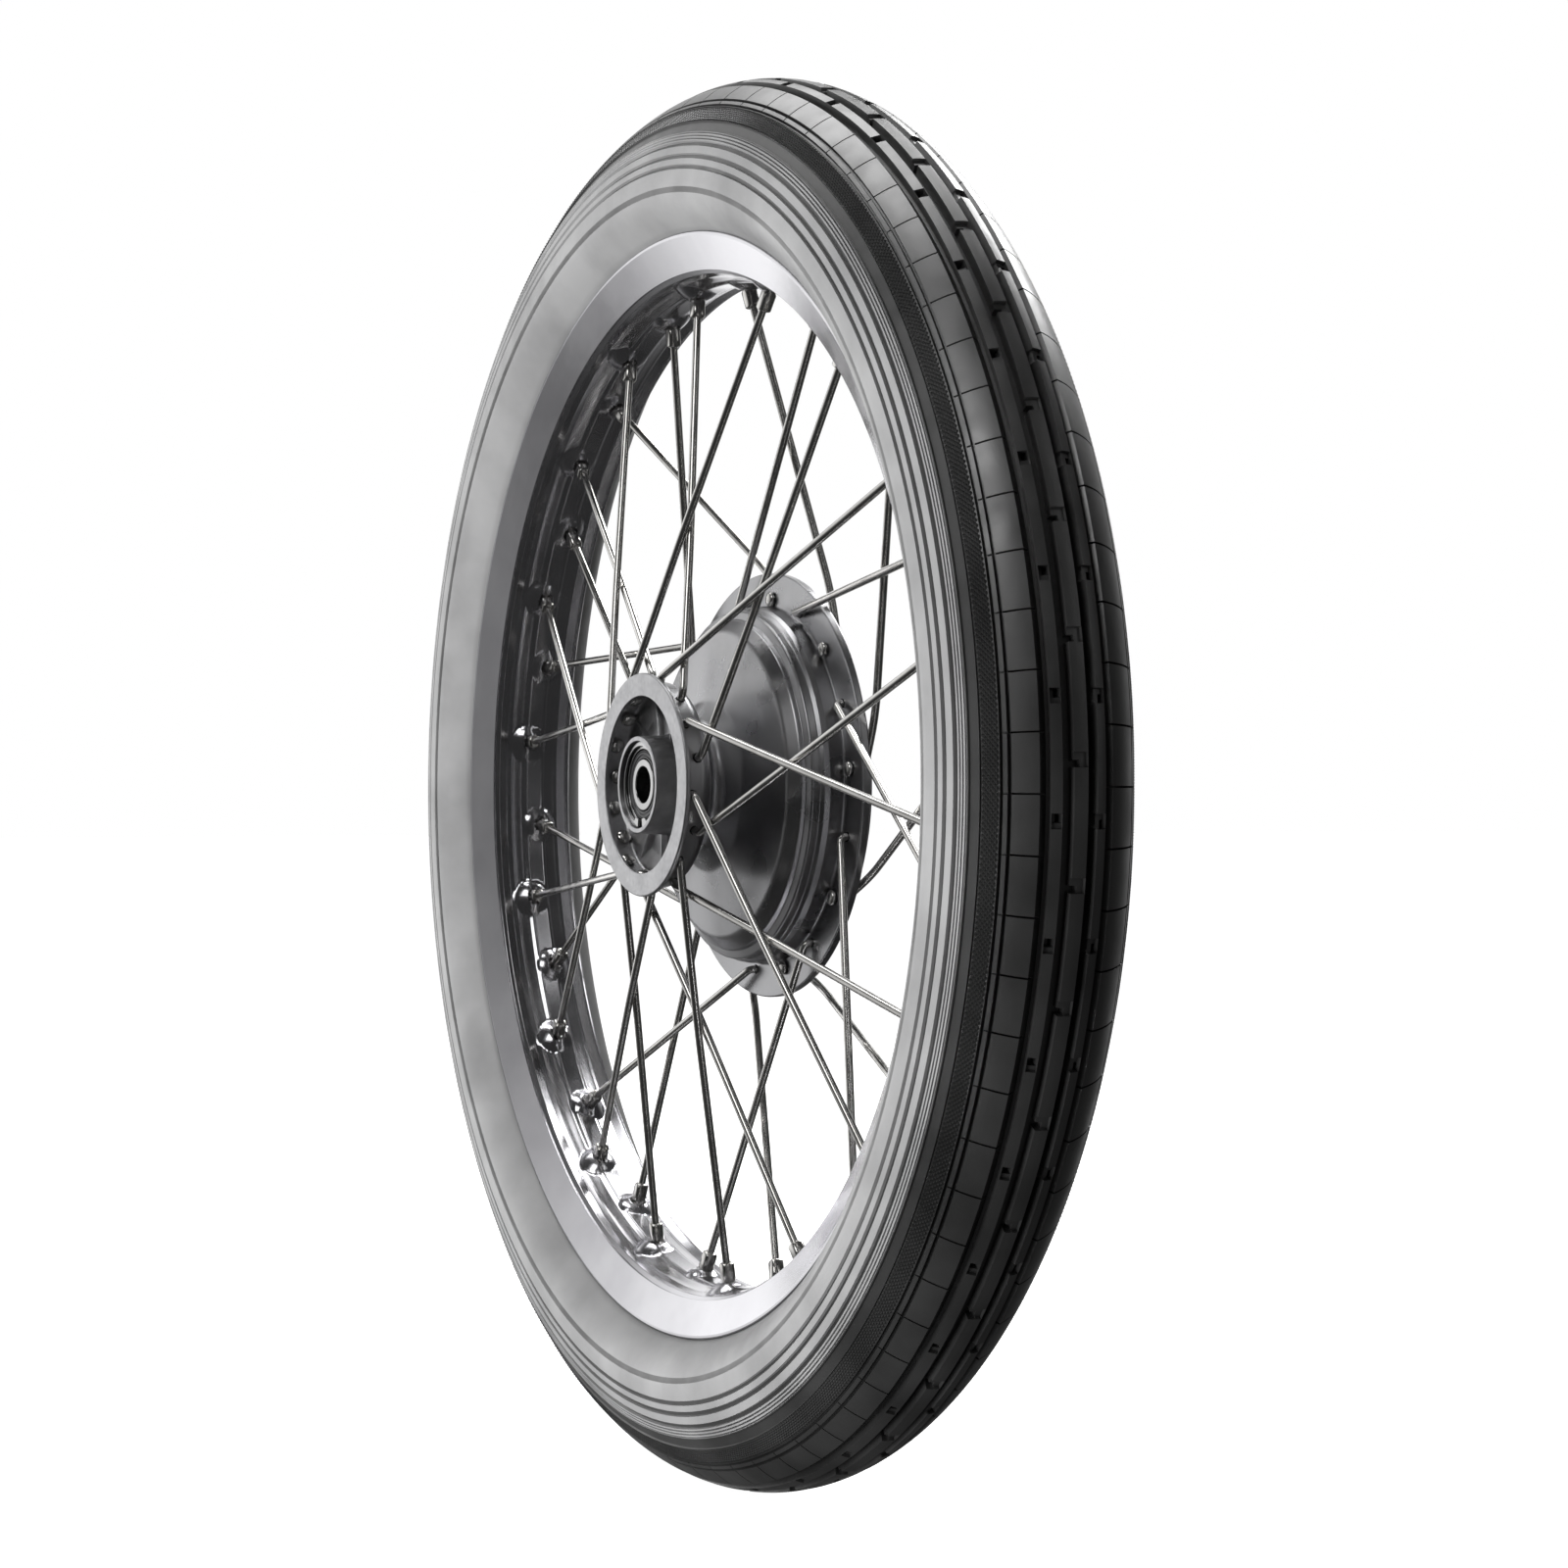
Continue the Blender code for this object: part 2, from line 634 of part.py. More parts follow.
def hub_profile():
    """Loop from the cup boss's face, out over the cup and the drum shell, and back through the bore."""
    boss = bearing_seat_radius() + BOSS_WALL
    cup_outer = cup_outer_radius()
    lip_back = CUP_FACE_Y + CUP_LIP_THICKNESS
    shell_inner = DRUM_SHELL_RADIUS - DRUM_WALL - LINER_SEAT_DEPTH
    flange_back = FLANGE_FACE_Y + FLANGE_THICKNESS
    right_boss_face = RIGHT_BEARING_Y + BEARING_WIDTH / 2 + 0.0010
    left_shoulder = left_bearing_y() + BEARING_WIDTH / 2 + GAP
    right_shoulder = RIGHT_BEARING_Y - BEARING_WIDTH / 2 - GAP
    outside = [
        (boss, BOSS_FACE_Y),
        (boss + 0.0006, CUP_FLOOR_Y),
        (CUP_INNER_RADIUS - 0.0100, CUP_FLOOR_Y),
        (CUP_INNER_RADIUS, CUP_ROW_Y + CUP_ROW_STEP / 2 + SPOKE_HEAD_RADIUS),
        (CUP_INNER_RADIUS, lip_back),
        (CUP_LIP_INNER_RADIUS, lip_back),
        (CUP_LIP_INNER_RADIUS, CUP_FACE_Y),
        (CUP_LIP_RADIUS, CUP_FACE_Y),
        (CUP_LIP_RADIUS, lip_back),
        (cup_outer, lip_back),
        (cup_outer, CUP_FLOOR_Y - 0.0010),
        (NECK_RADIUS, CUP_FLOOR_Y + 0.0090),
        (NECK_RADIUS + 0.0020, -0.0120),
        (NECK_RADIUS + 0.0110, -0.0060),
        (DRUM_FACE_RADIUS - 0.0055, 0.0005),
        (DRUM_FACE_RADIUS, 0.0045),
        (DRUM_STEP_RADIUS, 0.0070),
        (DRUM_STEP_RADIUS, 0.0120),
        (DRUM_SHELL_RADIUS, 0.0150),
        (DRUM_SHELL_RADIUS, FLANGE_FACE_Y),
        (FLANGE_RADIUS, FLANGE_FACE_Y),
        (FLANGE_RADIUS, flange_back),
        (DRUM_MOUTH_RADIUS, flange_back),
        (DRUM_MOUTH_RADIUS, DRUM_MOUTH_Y),
    ]
    cavity_floor = DRUM_MOUTH_Y - LINER_DEPTH - 0.0010
    inside = [
        (shell_inner, DRUM_MOUTH_Y),
        (shell_inner, cavity_floor),
        (DRUM_FACE_RADIUS - 0.0060, 0.0005 + DRUM_FACE_WALL),
        (NECK_RADIUS + 0.0110, -0.0060 + DRUM_FACE_WALL),
        (boss, 0.0010),
        (boss, right_boss_face),
        (bearing_seat_radius(), right_boss_face),
        (bearing_seat_radius(), right_shoulder),
        (bore_radius(), right_shoulder),
        (bore_radius(), left_shoulder),
        (bearing_seat_radius(), left_shoulder),
        (bearing_seat_radius(), BOSS_FACE_Y),
    ]
    return outside + inside


def hub_hole(index):
    """The hole in the flange or the cup's wall that one spoke passes through."""
    seat, outward = spoke_head(index)
    elbow = spoke_elbow(index)
    start = seat + outward * 0.0010
    reference = AXLE.cross(run_direction(index))
    return rod_between("hole", start, elbow, SPOKE_RADIUS + 2 * GAP, reference)


def cup_rib(number):
    """A thin radial web between the bearing boss and the cup's wall."""
    boss = bearing_seat_radius() + BOSS_WALL
    inner = boss - RIB_BOSS_OVERLAP
    outer = CUP_INNER_RADIUS - RIB_WALL_DISTANCE
    shape = bmesh.new()
    bmesh.ops.create_cube(shape, size=1)
    size = Matrix.Diagonal((outer - inner, RIB_HEIGHT, RIB_THICKNESS, 1))
    place = Matrix.Translation(((inner + outer) / 2, CUP_FLOOR_Y + RIB_FLOOR_OVERLAP - RIB_HEIGHT / 2, 0))
    turn = Matrix.Rotation(-(RIM_HOLE_PHASE + 2 * pi * number / RIB_COUNT), 4, "Y")
    bmesh.ops.transform(shape, matrix=turn @ place @ size, verts=shape.verts)
    return to_mesh("rib", shape)


def hub(parent):
    start = RIM_HOLE_PHASE + pi / HUB_SEGMENTS
    obj = finish("hub_shell", turned("hub_shell", hub_profile(), HUB_SEGMENTS, start), aluminium(), parent)
    ribs = joined_mesh("cup_ribs", [cup_rib(number) for number in range(RIB_COUNT)])
    boolean(obj, cutter("cup_ribs", ribs), "UNION")
    holes = joined_mesh("hub_holes", [hub_hole(index) for index in range(SPOKE_COUNT)])
    boolean(obj, cutter("hub_holes", holes), "DIFFERENCE")
    return obj


def brake_liner(parent):
    """The iron ring that the shoes rub on, shrunk into the drum."""
    outer = DRUM_SHELL_RADIUS - DRUM_WALL - LINER_SEAT_DEPTH - GAP
    low = DRUM_MOUTH_Y - LINER_DEPTH
    profile = box_ring(outer - LINER_THICKNESS, outer, low, DRUM_MOUTH_Y - 0.0005)
    mesh = turned("brake_drum_liner", profile, HUB_SEGMENTS, RIM_HOLE_PHASE + pi / HUB_SEGMENTS)
    return finish("brake_drum_liner", mesh, iron(), parent)


# ---- bearings ----


def race_profile(edge_radius, groove_radius, far_radius):
    """Half of a bearing: a ring with a groove for the balls at its middle."""
    half = BEARING_WIDTH / 2
    groove = BALL_RADIUS * 0.85
    return [
        (far_radius, -half),
        (far_radius, half),
        (edge_radius, half),
        (edge_radius, groove),
        (groove_radius, groove * 0.45),
        (groove_radius, -groove * 0.45),
        (edge_radius, -groove),
        (edge_radius, -half),
    ]


def shifted(profile, y):
    return [(r, station + y) for r, station in profile]


def ball_cage(name, y, parent):
    """The cage with its balls, turning between the two races."""
    inner = BALL_CIRCLE_RADIUS - CAGE_HALF_WALL
    outer = BALL_CIRCLE_RADIUS + CAGE_HALF_WALL
    cage = box_ring(inner, outer, y - CAGE_HALF_WIDTH, y + CAGE_HALF_WIDTH)
    obj = finish(name, turned(name, cage, BEARING_SEGMENTS), steel(), parent)
    balls = []
    for number in range(BALL_COUNT):
        shape = bmesh.new()
        bmesh.ops.create_uvsphere(shape, u_segments=6, v_segments=4, radius=BALL_RADIUS)
        centre = around(BALL_CIRCLE_RADIUS, 2 * pi * (number + 0.25) / BALL_COUNT, y)
        bmesh.ops.translate(shape, vec=centre, verts=shape.verts)
        balls.append(to_mesh("ball", shape))
    boolean(obj, cutter(name + "_balls", joined_mesh(name + "_balls", balls)), "UNION")
    return obj


def bearing(side, y, fixed, turning, cage_parent):
    """A sealed ball bearing: the outer ring and seals turn with the hub, the inner ring stays on the axle."""
    ball_reach = BALL_RADIUS + GAP
    outer_groove = (BALL_CIRCLE_RADIUS + ball_reach) / cos(pi / BEARING_SEGMENTS)
    inner_groove = BALL_CIRCLE_RADIUS - ball_reach
    outer_edge = BEARING_RADIUS - RACE_WALL
    inner_edge = BEARING_BORE_RADIUS + RACE_WALL
    outer_race = shifted(race_profile(outer_edge, outer_groove, BEARING_RADIUS), y)
    inner_race = shifted(race_profile(inner_edge, inner_groove, BEARING_BORE_RADIUS), y)
    outer_mesh = turned("outer_ring", outer_race, BEARING_SEGMENTS)
    inner_mesh = turned("inner_ring", inner_race, BEARING_SEGMENTS)
    finish(f"bearing_{side}_outer_ring", outer_mesh, steel(), turning)
    finish(f"bearing_{side}_inner_ring", inner_mesh, steel(), fixed)
    ball_cage(f"bearing_{side}_ball_cage", y, cage_parent)
    face = BEARING_WIDTH / 2 - SEAL_RECESS
    seal_inner = inner_edge + RUNNING_GAP
    seal_outer = outer_edge * cos(pi / BEARING_SEGMENTS) - GAP / 2
    outboard = -1 if side == "left" else 1
    for place, direction in (("outboard", outboard), ("inboard", -outboard)):
        far = y + direction * face
        near = far - direction * SEAL_THICKNESS
        seal = box_ring(seal_inner, seal_outer, min(far, near), max(far, near))
        name = f"bearing_{side}_{place}_seal"
        finish(name, turned(name, seal, BEARING_SEGMENTS), rubber(), turning)


def circlip(parent):
    """The ring that keeps the cup side's bearing in its boss, with a gap between its ears."""
    low = BOSS_FACE_Y + CIRCLIP_RECESS
    outer = bearing_seat_radius() * cos(pi / HUB_SEGMENTS) - GAP
    profile = box_ring(outer - CIRCLIP_RING_WIDTH, outer, low, low + CIRCLIP_THICKNESS)
    obj = finish("bearing_circlip", turned("bearing_circlip", profile, BEARING_SEGMENTS), steel(), parent)
    shape = bmesh.new()
    bmesh.ops.create_cube(shape, size=1)
    size = Matrix.Diagonal((*CIRCLIP_GAP_SIZE, 1))
    place = Matrix.Translation(around(outer - CIRCLIP_RING_WIDTH / 2, -pi / 2, low))
    bmesh.ops.transform(shape, matrix=place @ size, verts=shape.verts)
    boolean(obj, cutter("circlip_gap", to_mesh("circlip_gap", shape)), "DIFFERENCE")
    return obj


def bearing_spacer(parent):
    """The tube that holds the two inner rings apart on the axle."""
    low = left_bearing_y() + BEARING_WIDTH / 2 + GAP
    high = RIGHT_BEARING_Y - BEARING_WIDTH / 2 - GAP
    profile = box_ring(BEARING_BORE_RADIUS, BEARING_BORE_RADIUS + SPACER_WALL, low, high)
    return finish("bearing_spacer_tube", turned("spacer", profile, BEARING_SEGMENTS), steel(), parent)


def empty(name):
    made = bpy.data.objects.new(name, None)
    bpy.context.scene.collection.objects.link(made)
    return made


def main():
    clear_scene()
    axle_line = empty("axle_line")
    wheel = empty("wheel_spin_axis")
    cages = {side: empty(f"cage_{side}_axis") for side in ("left", "right")}
    tyre(wheel)
    inner_tube(wheel)
    rim_tape(wheel)
    rim(wheel)
    valve(wheel)
    hub(wheel)
    brake_liner(wheel)
    for index in range(SPOKE_COUNT):
        spoke(index, wheel)
    bearing("left", left_bearing_y(), axle_line, wheel, cages["left"])
    bearing("right", RIGHT_BEARING_Y, axle_line, wheel, cages["right"])
    circlip(wheel)
    bearing_spacer(axle_line)


main()
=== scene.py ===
from math import asin, ceil, cos, degrees, hypot, pi, radians, sin, tan

import bmesh
import bpy
from mathutils import Matrix, Vector


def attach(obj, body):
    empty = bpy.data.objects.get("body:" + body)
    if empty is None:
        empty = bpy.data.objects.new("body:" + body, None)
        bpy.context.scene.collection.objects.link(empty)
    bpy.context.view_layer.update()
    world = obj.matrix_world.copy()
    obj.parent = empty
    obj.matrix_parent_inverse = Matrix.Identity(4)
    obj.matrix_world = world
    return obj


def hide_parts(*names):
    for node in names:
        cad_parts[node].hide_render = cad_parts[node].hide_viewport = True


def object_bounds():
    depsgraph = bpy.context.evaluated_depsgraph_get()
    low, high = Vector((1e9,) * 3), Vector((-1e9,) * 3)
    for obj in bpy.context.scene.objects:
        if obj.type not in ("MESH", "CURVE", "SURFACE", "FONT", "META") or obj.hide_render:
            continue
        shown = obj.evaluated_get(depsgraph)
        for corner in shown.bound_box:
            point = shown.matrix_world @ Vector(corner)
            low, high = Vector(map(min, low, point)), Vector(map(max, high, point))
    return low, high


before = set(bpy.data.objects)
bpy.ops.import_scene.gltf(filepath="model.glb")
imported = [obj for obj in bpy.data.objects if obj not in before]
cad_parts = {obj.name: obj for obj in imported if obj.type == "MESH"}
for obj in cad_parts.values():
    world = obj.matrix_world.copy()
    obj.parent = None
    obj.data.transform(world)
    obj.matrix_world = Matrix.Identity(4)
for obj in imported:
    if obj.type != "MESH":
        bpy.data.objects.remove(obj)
cad_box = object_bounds()

# Metres, +Z up. The axle lies along Y through the origin, the spoke cup faces -Y and the drum opens to +Y.
AXLE = Vector((0, 1, 0))
GAP = 0.0003

# ---- rim ----
RIM_LIP_RADIUS = 0.2553
RIM_LIP_HALF_WIDTH = 0.0285
RIM_LIP_THICKNESS = 0.0030
BEAD_SEAT_RADIUS = 0.2413
BEAD_SEAT_HALF_WIDTH = 0.0198
WELL_RADIUS = 0.2378
WELL_HALF_WIDTH = 0.0085
WELL_SLOPE_WIDTH = 0.0030
RIM_WALL = 0.0032
SIDE_BAND_FOOT = 0.0214
RIM_SEGMENTS = 1080
DOME_RADIUS = 0.0095
DOME_HEIGHT = 0.0042
DOME_FULLNESS = 0.75
NUT_PIT_DEPTH = 0.0022
NUT_PIT_CLEARANCE = 0.0002
NUT_PIT_EDGE = 0.0007
STRIP_HALF_WIDTH = 0.0038
STRIP_EDGE = 0.0030
STRIP_HEIGHT = 0.0011
HUB_SIDE_INSET = 0.0090
HUB_SIDE_FLAT = 0.0045
HUB_SIDE_SLOPE = 0.0085
HUB_SIDE_RISE = 0.0018
HUB_SIDE_STEPS = 64

# ---- tyre ----
CROWN_RADIUS = 0.32580
WIDEST_RADIUS = 0.2740
HALF_WIDTH = 0.0420
SIDEWALL_THICKNESS = 0.0050
TREAD_THICKNESS = 0.0110
BEAD_HEIGHT = 0.0105
PITCHES = 43
PITCH = 360 / PITCHES
GROOVE_DEPTH = 0.0048
NOTCH_DEPTH = 0.0015
SIPE_DEPTH = 0.0036
SHORT_SIPE_DEPTH = 0.0010
SIPE_WALL = 0.03
SIDE_GROOVE_DEPTH = 0.0013
KNURLS_PER_PITCH = 20
KNURL_ROWS = 9
KNURL_BAND = (54.8, 45.4)
KNURL_LIFT = 0.0003
KNURL_SINK = 0.0008
KNURL_SEAT_DEPTH = 0.0016
KNURL_BACK_DEPTH = 0.0024
LOWER_SIDE_STEPS = 8
LOWER_SIDE_BULGE = 0.00066
LOWER_SIDE_CURVE = 1.6
# Painted sheen: shallow sidewall faces beyond this angle over the crown get the pale rubber colour in place of
# the light they catch.
SHEEN_PAINT_FROM = 61.2
SHEEN_PAINT_DEPTH = 0.0002

# ---- spokes ----
SPOKE_COUNT = 36
RIM_HOLE_PHASE = radians(4.3)
CROSS_ANGLE = radians(40.0)
RIM_HOLE_OFFSET = 0.0023
SPOKE_RADIUS = 0.00183
CROSSING_SPREAD = SPOKE_RADIUS + 0.0002
SPOKE_HEAD_RADIUS = 0.0036
SPOKE_HEAD_HEIGHT = 0.0022
SPOKE_BEND = 0.0030
NIPPLE_RADIUS = 0.0031
NIPPLE_LENGTH = 0.0160
NIPPLE_HEAD_RADIUS = 0.0042
CUP_CROSSING = 0.365
FLANGE_EDGE_CROSSING = 0.15
RUN_EASING = 0.012

# ---- hub ----
CUP_FACE_Y = -0.0403
CUP_LIP_RADIUS = 0.0520
CUP_LIP_INNER_RADIUS = 0.0412
CUP_LIP_THICKNESS = 0.0017
CUP_WALL = 0.0036
CUP_INNER_RADIUS = 0.0445
CUP_FLOOR_Y = -0.0260
CUP_ROW_Y = -0.0341
CUP_ROW_STEP = 0.0022
RIB_COUNT = 11
NECK_RADIUS = 0.0290
DRUM_FACE_RADIUS = 0.0775
DRUM_STEP_RADIUS = 0.0820
DRUM_SHELL_RADIUS = 0.0840
DRUM_MOUTH_RADIUS = 0.0845
DRUM_MOUTH_Y = 0.0370
DRUM_INNER_RADIUS = 0.0780
FLANGE_RADIUS = 0.1003
FLANGE_FACE_Y = 0.0238
FLANGE_THICKNESS = 0.0040
FLANGE_HOLE_RADIUS = 0.0880
LINER_THICKNESS = 0.0042
LINER_DEPTH = 0.0265
HUB_SEGMENTS = 216

# ---- bearings ----
BORE_RADIUS = 0.0085
BEARING_RADIUS = 0.0200
BEARING_SEAT_RADIUS = BEARING_RADIUS + GAP
BEARING_HALF_WIDTH = 0.0060
RACE_WALL = 0.0034
OUTER_TRACK_RADIUS = 0.01790
INNER_TRACK_RADIUS = 0.01064
TRACK_HALF_WIDTH = 0.0030
SHIELD_THICKNESS = 0.0010
SHIELD_CLEARANCE = 0.0004
BOSS_RADIUS = BEARING_SEAT_RADIUS + 0.0022
BOSS_FACE_Y = -0.0420
CIRCLIP_Y = -0.0404
CIRCLIP_THICKNESS = 0.0012
CIRCLIP_CLEARANCE = 0.0002
CIRCLIP_WIDTH = 0.0020
CIRCLIP_EAR = 0.0022
CIRCLIP_EAR_STEPS = 3
CIRCLIP_GAP = radians(15)
CIRCLIP_STEPS = 120
LEFT_BEARING_Y = -0.0329
RIGHT_BEARING_Y = 0.0180
TURNED_SEGMENTS = 96

# ---- studio: each softbox has its name, place, width, height and watts, and faces the wheel's centre ----
SOFTBOXES = [
    ("top_box", (-0.75, -0.1, 2.2), 1.9, 1.8, 36),
    ("back_box", (-0.9, 1.6, 1.7), 1.0, 1.0, 34),
    ("edge_box", (1.6, 1.1, 0.9), 0.12, 1.8, 1.2),
    ("front_box", (0.9, -1.5, 1.3), 0.9, 0.9, 7),
    ("face_fill", (0.55, -2.5, -0.9), 1.6, 1.6, 180),
]
DOME_STRENGTH = 1.5
DOME_FALL_OFF = 2.2
AMBIENT = 0.035
FLOOR_HALF = 30.0
FLOOR_DROP = 0.0004


# ---------------------------------------------------------------- materials


class Surface:
    """A procedural material, put together node by node in the wheel's own coordinates."""

    def __init__(self, name, metallic=0.0, specular=0.5, ior=1.5):
        self.made = bpy.data.materials.new(name)
        self.made.use_nodes = True
        self.tree = self.made.node_tree
        self.shader = self.tree.nodes["Principled BSDF"]
        self.shader.inputs["Metallic"].default_value = metallic
        self.shader.inputs["Specular IOR Level"].default_value = specular
        self.shader.inputs["IOR"].default_value = ior
        self.place = self.node("ShaderNodeTexCoord").outputs["Object"]
        self.relief = None

    def node(self, kind, **settings):
        made = self.tree.nodes.new(kind)
        for key, value in settings.items():
            setattr(made, key, value)
        return made

    def math(self, operation, first, second=None):
        made = self.node("ShaderNodeMath", operation=operation)
        for socket, value in zip(made.inputs, (first, second)):
            if isinstance(value, (int, float)):
                socket.default_value = value
            elif value is not None:
                self.tree.links.new(value, socket)
        return made.outputs[0]

    def turned_place(self):
        """Radius, Y and turning angle, in which marks left by a lathe are straight."""
        parts = self.node("ShaderNodeSeparateXYZ")
        self.tree.links.new(self.place, parts.inputs[0])
        x, y, z = parts.outputs
        squares = self.math("ADD", self.math("MULTIPLY", x, x), self.math("MULTIPLY", z, z))
        joined = self.node("ShaderNodeCombineXYZ")
        self.tree.links.new(self.math("SQRT", squares), joined.inputs[0])
        self.tree.links.new(y, joined.inputs[1])
        self.tree.links.new(self.math("ARCTAN2", z, x), joined.inputs[2])
        return joined.outputs[0]

    def noise(self, scale, detail=3.0, place=None, stretch=(1, 1, 1)):
        mapping = self.node("ShaderNodeMapping")
        mapping.inputs["Scale"].default_value = stretch
        self.tree.links.new(place or self.place, mapping.inputs["Vector"])
        made = self.node("ShaderNodeTexNoise")
        made.inputs["Scale"].default_value = scale
        made.inputs["Detail"].default_value = detail
        self.tree.links.new(mapping.outputs[0], made.inputs["Vector"])
        return made.outputs["Fac"]

    def spread(self, factor, low, high):
        """Takes the middle of a noise's range to the range from low to high."""
        made = self.node("ShaderNodeMapRange")
        made.inputs["From Min"].default_value = 0.35
        made.inputs["From Max"].default_value = 0.65
        made.inputs["To Min"].default_value = low
        made.inputs["To Max"].default_value = high
        self.tree.links.new(factor, made.inputs["Value"])
        return made.outputs[0]

    def colour(self, factor, dark, light):
        mix = self.node("ShaderNodeMix", data_type="RGBA")
        mix.inputs["A"].default_value = (*dark, 1)
        mix.inputs["B"].default_value = (*light, 1)
        self.tree.links.new(self.spread(factor, 0, 1), mix.inputs["Factor"])
        self.tree.links.new(mix.outputs["Result"], self.shader.inputs["Base Color"])

    def roughness(self, factor, low, high):
        self.tree.links.new(self.spread(factor, low, high), self.shader.inputs["Roughness"])

    def bump(self, height, strength, distance):
        made = self.node("ShaderNodeBump")
        made.inputs["Strength"].default_value = strength
        made.inputs["Distance"].default_value = distance
        self.tree.links.new(height, made.inputs["Height"])
        if self.relief:
            self.tree.links.new(self.relief, made.inputs["Normal"])
        self.relief = made.outputs[0]
        self.tree.links.new(self.relief, self.shader.inputs["Normal"])


def rubber(name, dark, light, low, high, specular=0.5, ior=1.5):
    """Moulded rubber: cloudy bloom in broad patches over a fine grain."""
    surface = Surface(name, specular=specular, ior=ior)
    surface.colour(surface.noise(22, 4.0), dark, light)
    surface.roughness(surface.noise(60, 4.0), low, high)
    surface.bump(surface.noise(1500, 2.0), 0.25, 0.00012)
    surface.bump(surface.noise(140, 3.0), 0.20, 0.00030)
    return surface.made


def turned_metal(name, dark, light, low, high, mark_strength):
    """Metal finished on a lathe and then polished: faint rings and soft clouds."""
    surface = Surface(name, metallic=1.0)
    turned = surface.turned_place()
    rings = surface.noise(1.0, 3.0, turned, (2600, 2600, 2.2))
    clouds = surface.noise(28, 4.0)
    surface.colour(clouds, dark, light)
    surface.roughness(clouds, low, high)
    surface.bump(rings, mark_strength, 0.00006)
    surface.bump(surface.noise(55, 2.0), 0.06, 0.0006)
    return surface.made


def cast_metal(name, dark, light, low, high):
    """Sand-cast metal left as it came: fine pits and a dull, uneven skin."""
    surface = Surface(name, metallic=1.0)
    skin = surface.noise(420, 5.0)
    surface.colour(surface.noise(90, 5.0), dark, light)
    surface.roughness(skin, low, high)
    surface.bump(skin, 0.45, 0.00022)
    return surface.made


def drawn_steel(name, dark, light, low, high):
    """Plated steel, with a slight orange peel and smudges."""
    surface = Surface(name, metallic=1.0)
    smudges = surface.noise(90, 3.0)
    surface.colour(smudges, dark, light)
    surface.roughness(smudges, low, high)
    surface.bump(surface.noise(700, 2.0), 0.12, 0.00008)
    return surface.made


MATERIALS = {
    "tyre": rubber("tyre_rubber_visual", (0.010, 0.010, 0.010), (0.020, 0.020, 0.020), 0.34, 0.46, 0.8, 1.9),
    # Painted sheen: the sidewall is the same black rubber as the tread, given here a pale grey colour that
    # stands in for the light it catches.
    "sidewall": rubber(
        "tyre_sidewall_painted_sheen_visual", (0.150, 0.150, 0.151), (0.210, 0.210, 0.211), 0.42, 0.54, 0.6, 1.65
    ),
    "tube": rubber("tube_rubber_visual", (0.012, 0.012, 0.012), (0.020, 0.020, 0.021), 0.50, 0.65),
    "seal": rubber("seal_rubber_visual", (0.010, 0.010, 0.011), (0.018, 0.018, 0.018), 0.30, 0.42),
    "cap": rubber("cap_plastic_visual", (0.012, 0.012, 0.013), (0.020, 0.020, 0.021), 0.28, 0.36),
    "rim": turned_metal("rim_polished_visual", (0.58, 0.575, 0.60), (0.68, 0.675, 0.70), 0.15, 0.24, 0.10),
    "hub": turned_metal("hub_polished_visual", (0.34, 0.34, 0.35), (0.44, 0.44, 0.45), 0.25, 0.35, 0.16),
    "cast": cast_metal("hub_cast_visual", (0.46, 0.46, 0.47), (0.62, 0.62, 0.63), 0.32, 0.50),
    "satin": cast_metal("hub_satin_visual", (0.42, 0.42, 0.43), (0.50, 0.50, 0.51), 0.34, 0.44),
    "iron": turned_metal("drum_iron_visual", (0.24, 0.23, 0.22), (0.36, 0.35, 0.34), 0.34, 0.50, 0.30),
    "spoke": drawn_steel("spoke_steel_visual", (0.58, 0.57, 0.55), (0.70, 0.69, 0.67), 0.14, 0.24),
    "steel": turned_metal("bearing_steel_visual", (0.40, 0.40, 0.40), (0.54, 0.54, 0.54), 0.18, 0.28, 0.12),
    "brass": drawn_steel("valve_brass_visual", (0.58, 0.42, 0.19), (0.74, 0.56, 0.28), 0.22, 0.38),
}


# ---------------------------------------------------------------- mesh helpers


def around(radius, angle, y):
    return Vector((radius * cos(angle), y, radius * sin(angle)))


def outward_mesh(name, verts, faces):
    """A mesh with all its faces turned outwards."""
    mesh = bpy.data.meshes.new(name)
    mesh.from_pydata(verts, [], faces)
    shape = bmesh.new()
    shape.from_mesh(mesh)
    bmesh.ops.recalc_face_normals(shape, faces=shape.faces)
    shape.to_mesh(mesh)
    shape.free()
    return mesh


def smoothed(mesh, sharp):
    """Shades the mesh smooth, up to edges sharper than this many degrees."""
    mesh.shade_smooth()
    mesh.set_sharp_from_angle(angle=radians(sharp))


def placed(name, data):
    """A new object in the scene with this data."""
    obj = bpy.data.objects.new(name, data)
    bpy.context.scene.collection.objects.link(obj)
    return obj


def publish(name, verts, faces, material, body, slot, node, sharp=38):
    """Makes one piece of the visual model and ties it to the frame."""
    mesh = outward_mesh(name, verts, faces)
    obj = placed(name, mesh)
    mesh.materials.append(MATERIALS[material])
    smoothed(mesh, sharp)
    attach(obj, body)
    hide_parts(node)
    return obj


def bent(start, corner, end, steps):
    """Points on a smooth bend that leaves towards the corner and arrives from it."""
    points = []
    for step in range(steps + 1):
        t = step / steps
        points.append(start * (1 - t) ** 2 + corner * 2 * t * (1 - t) + end * t * t)
    return points


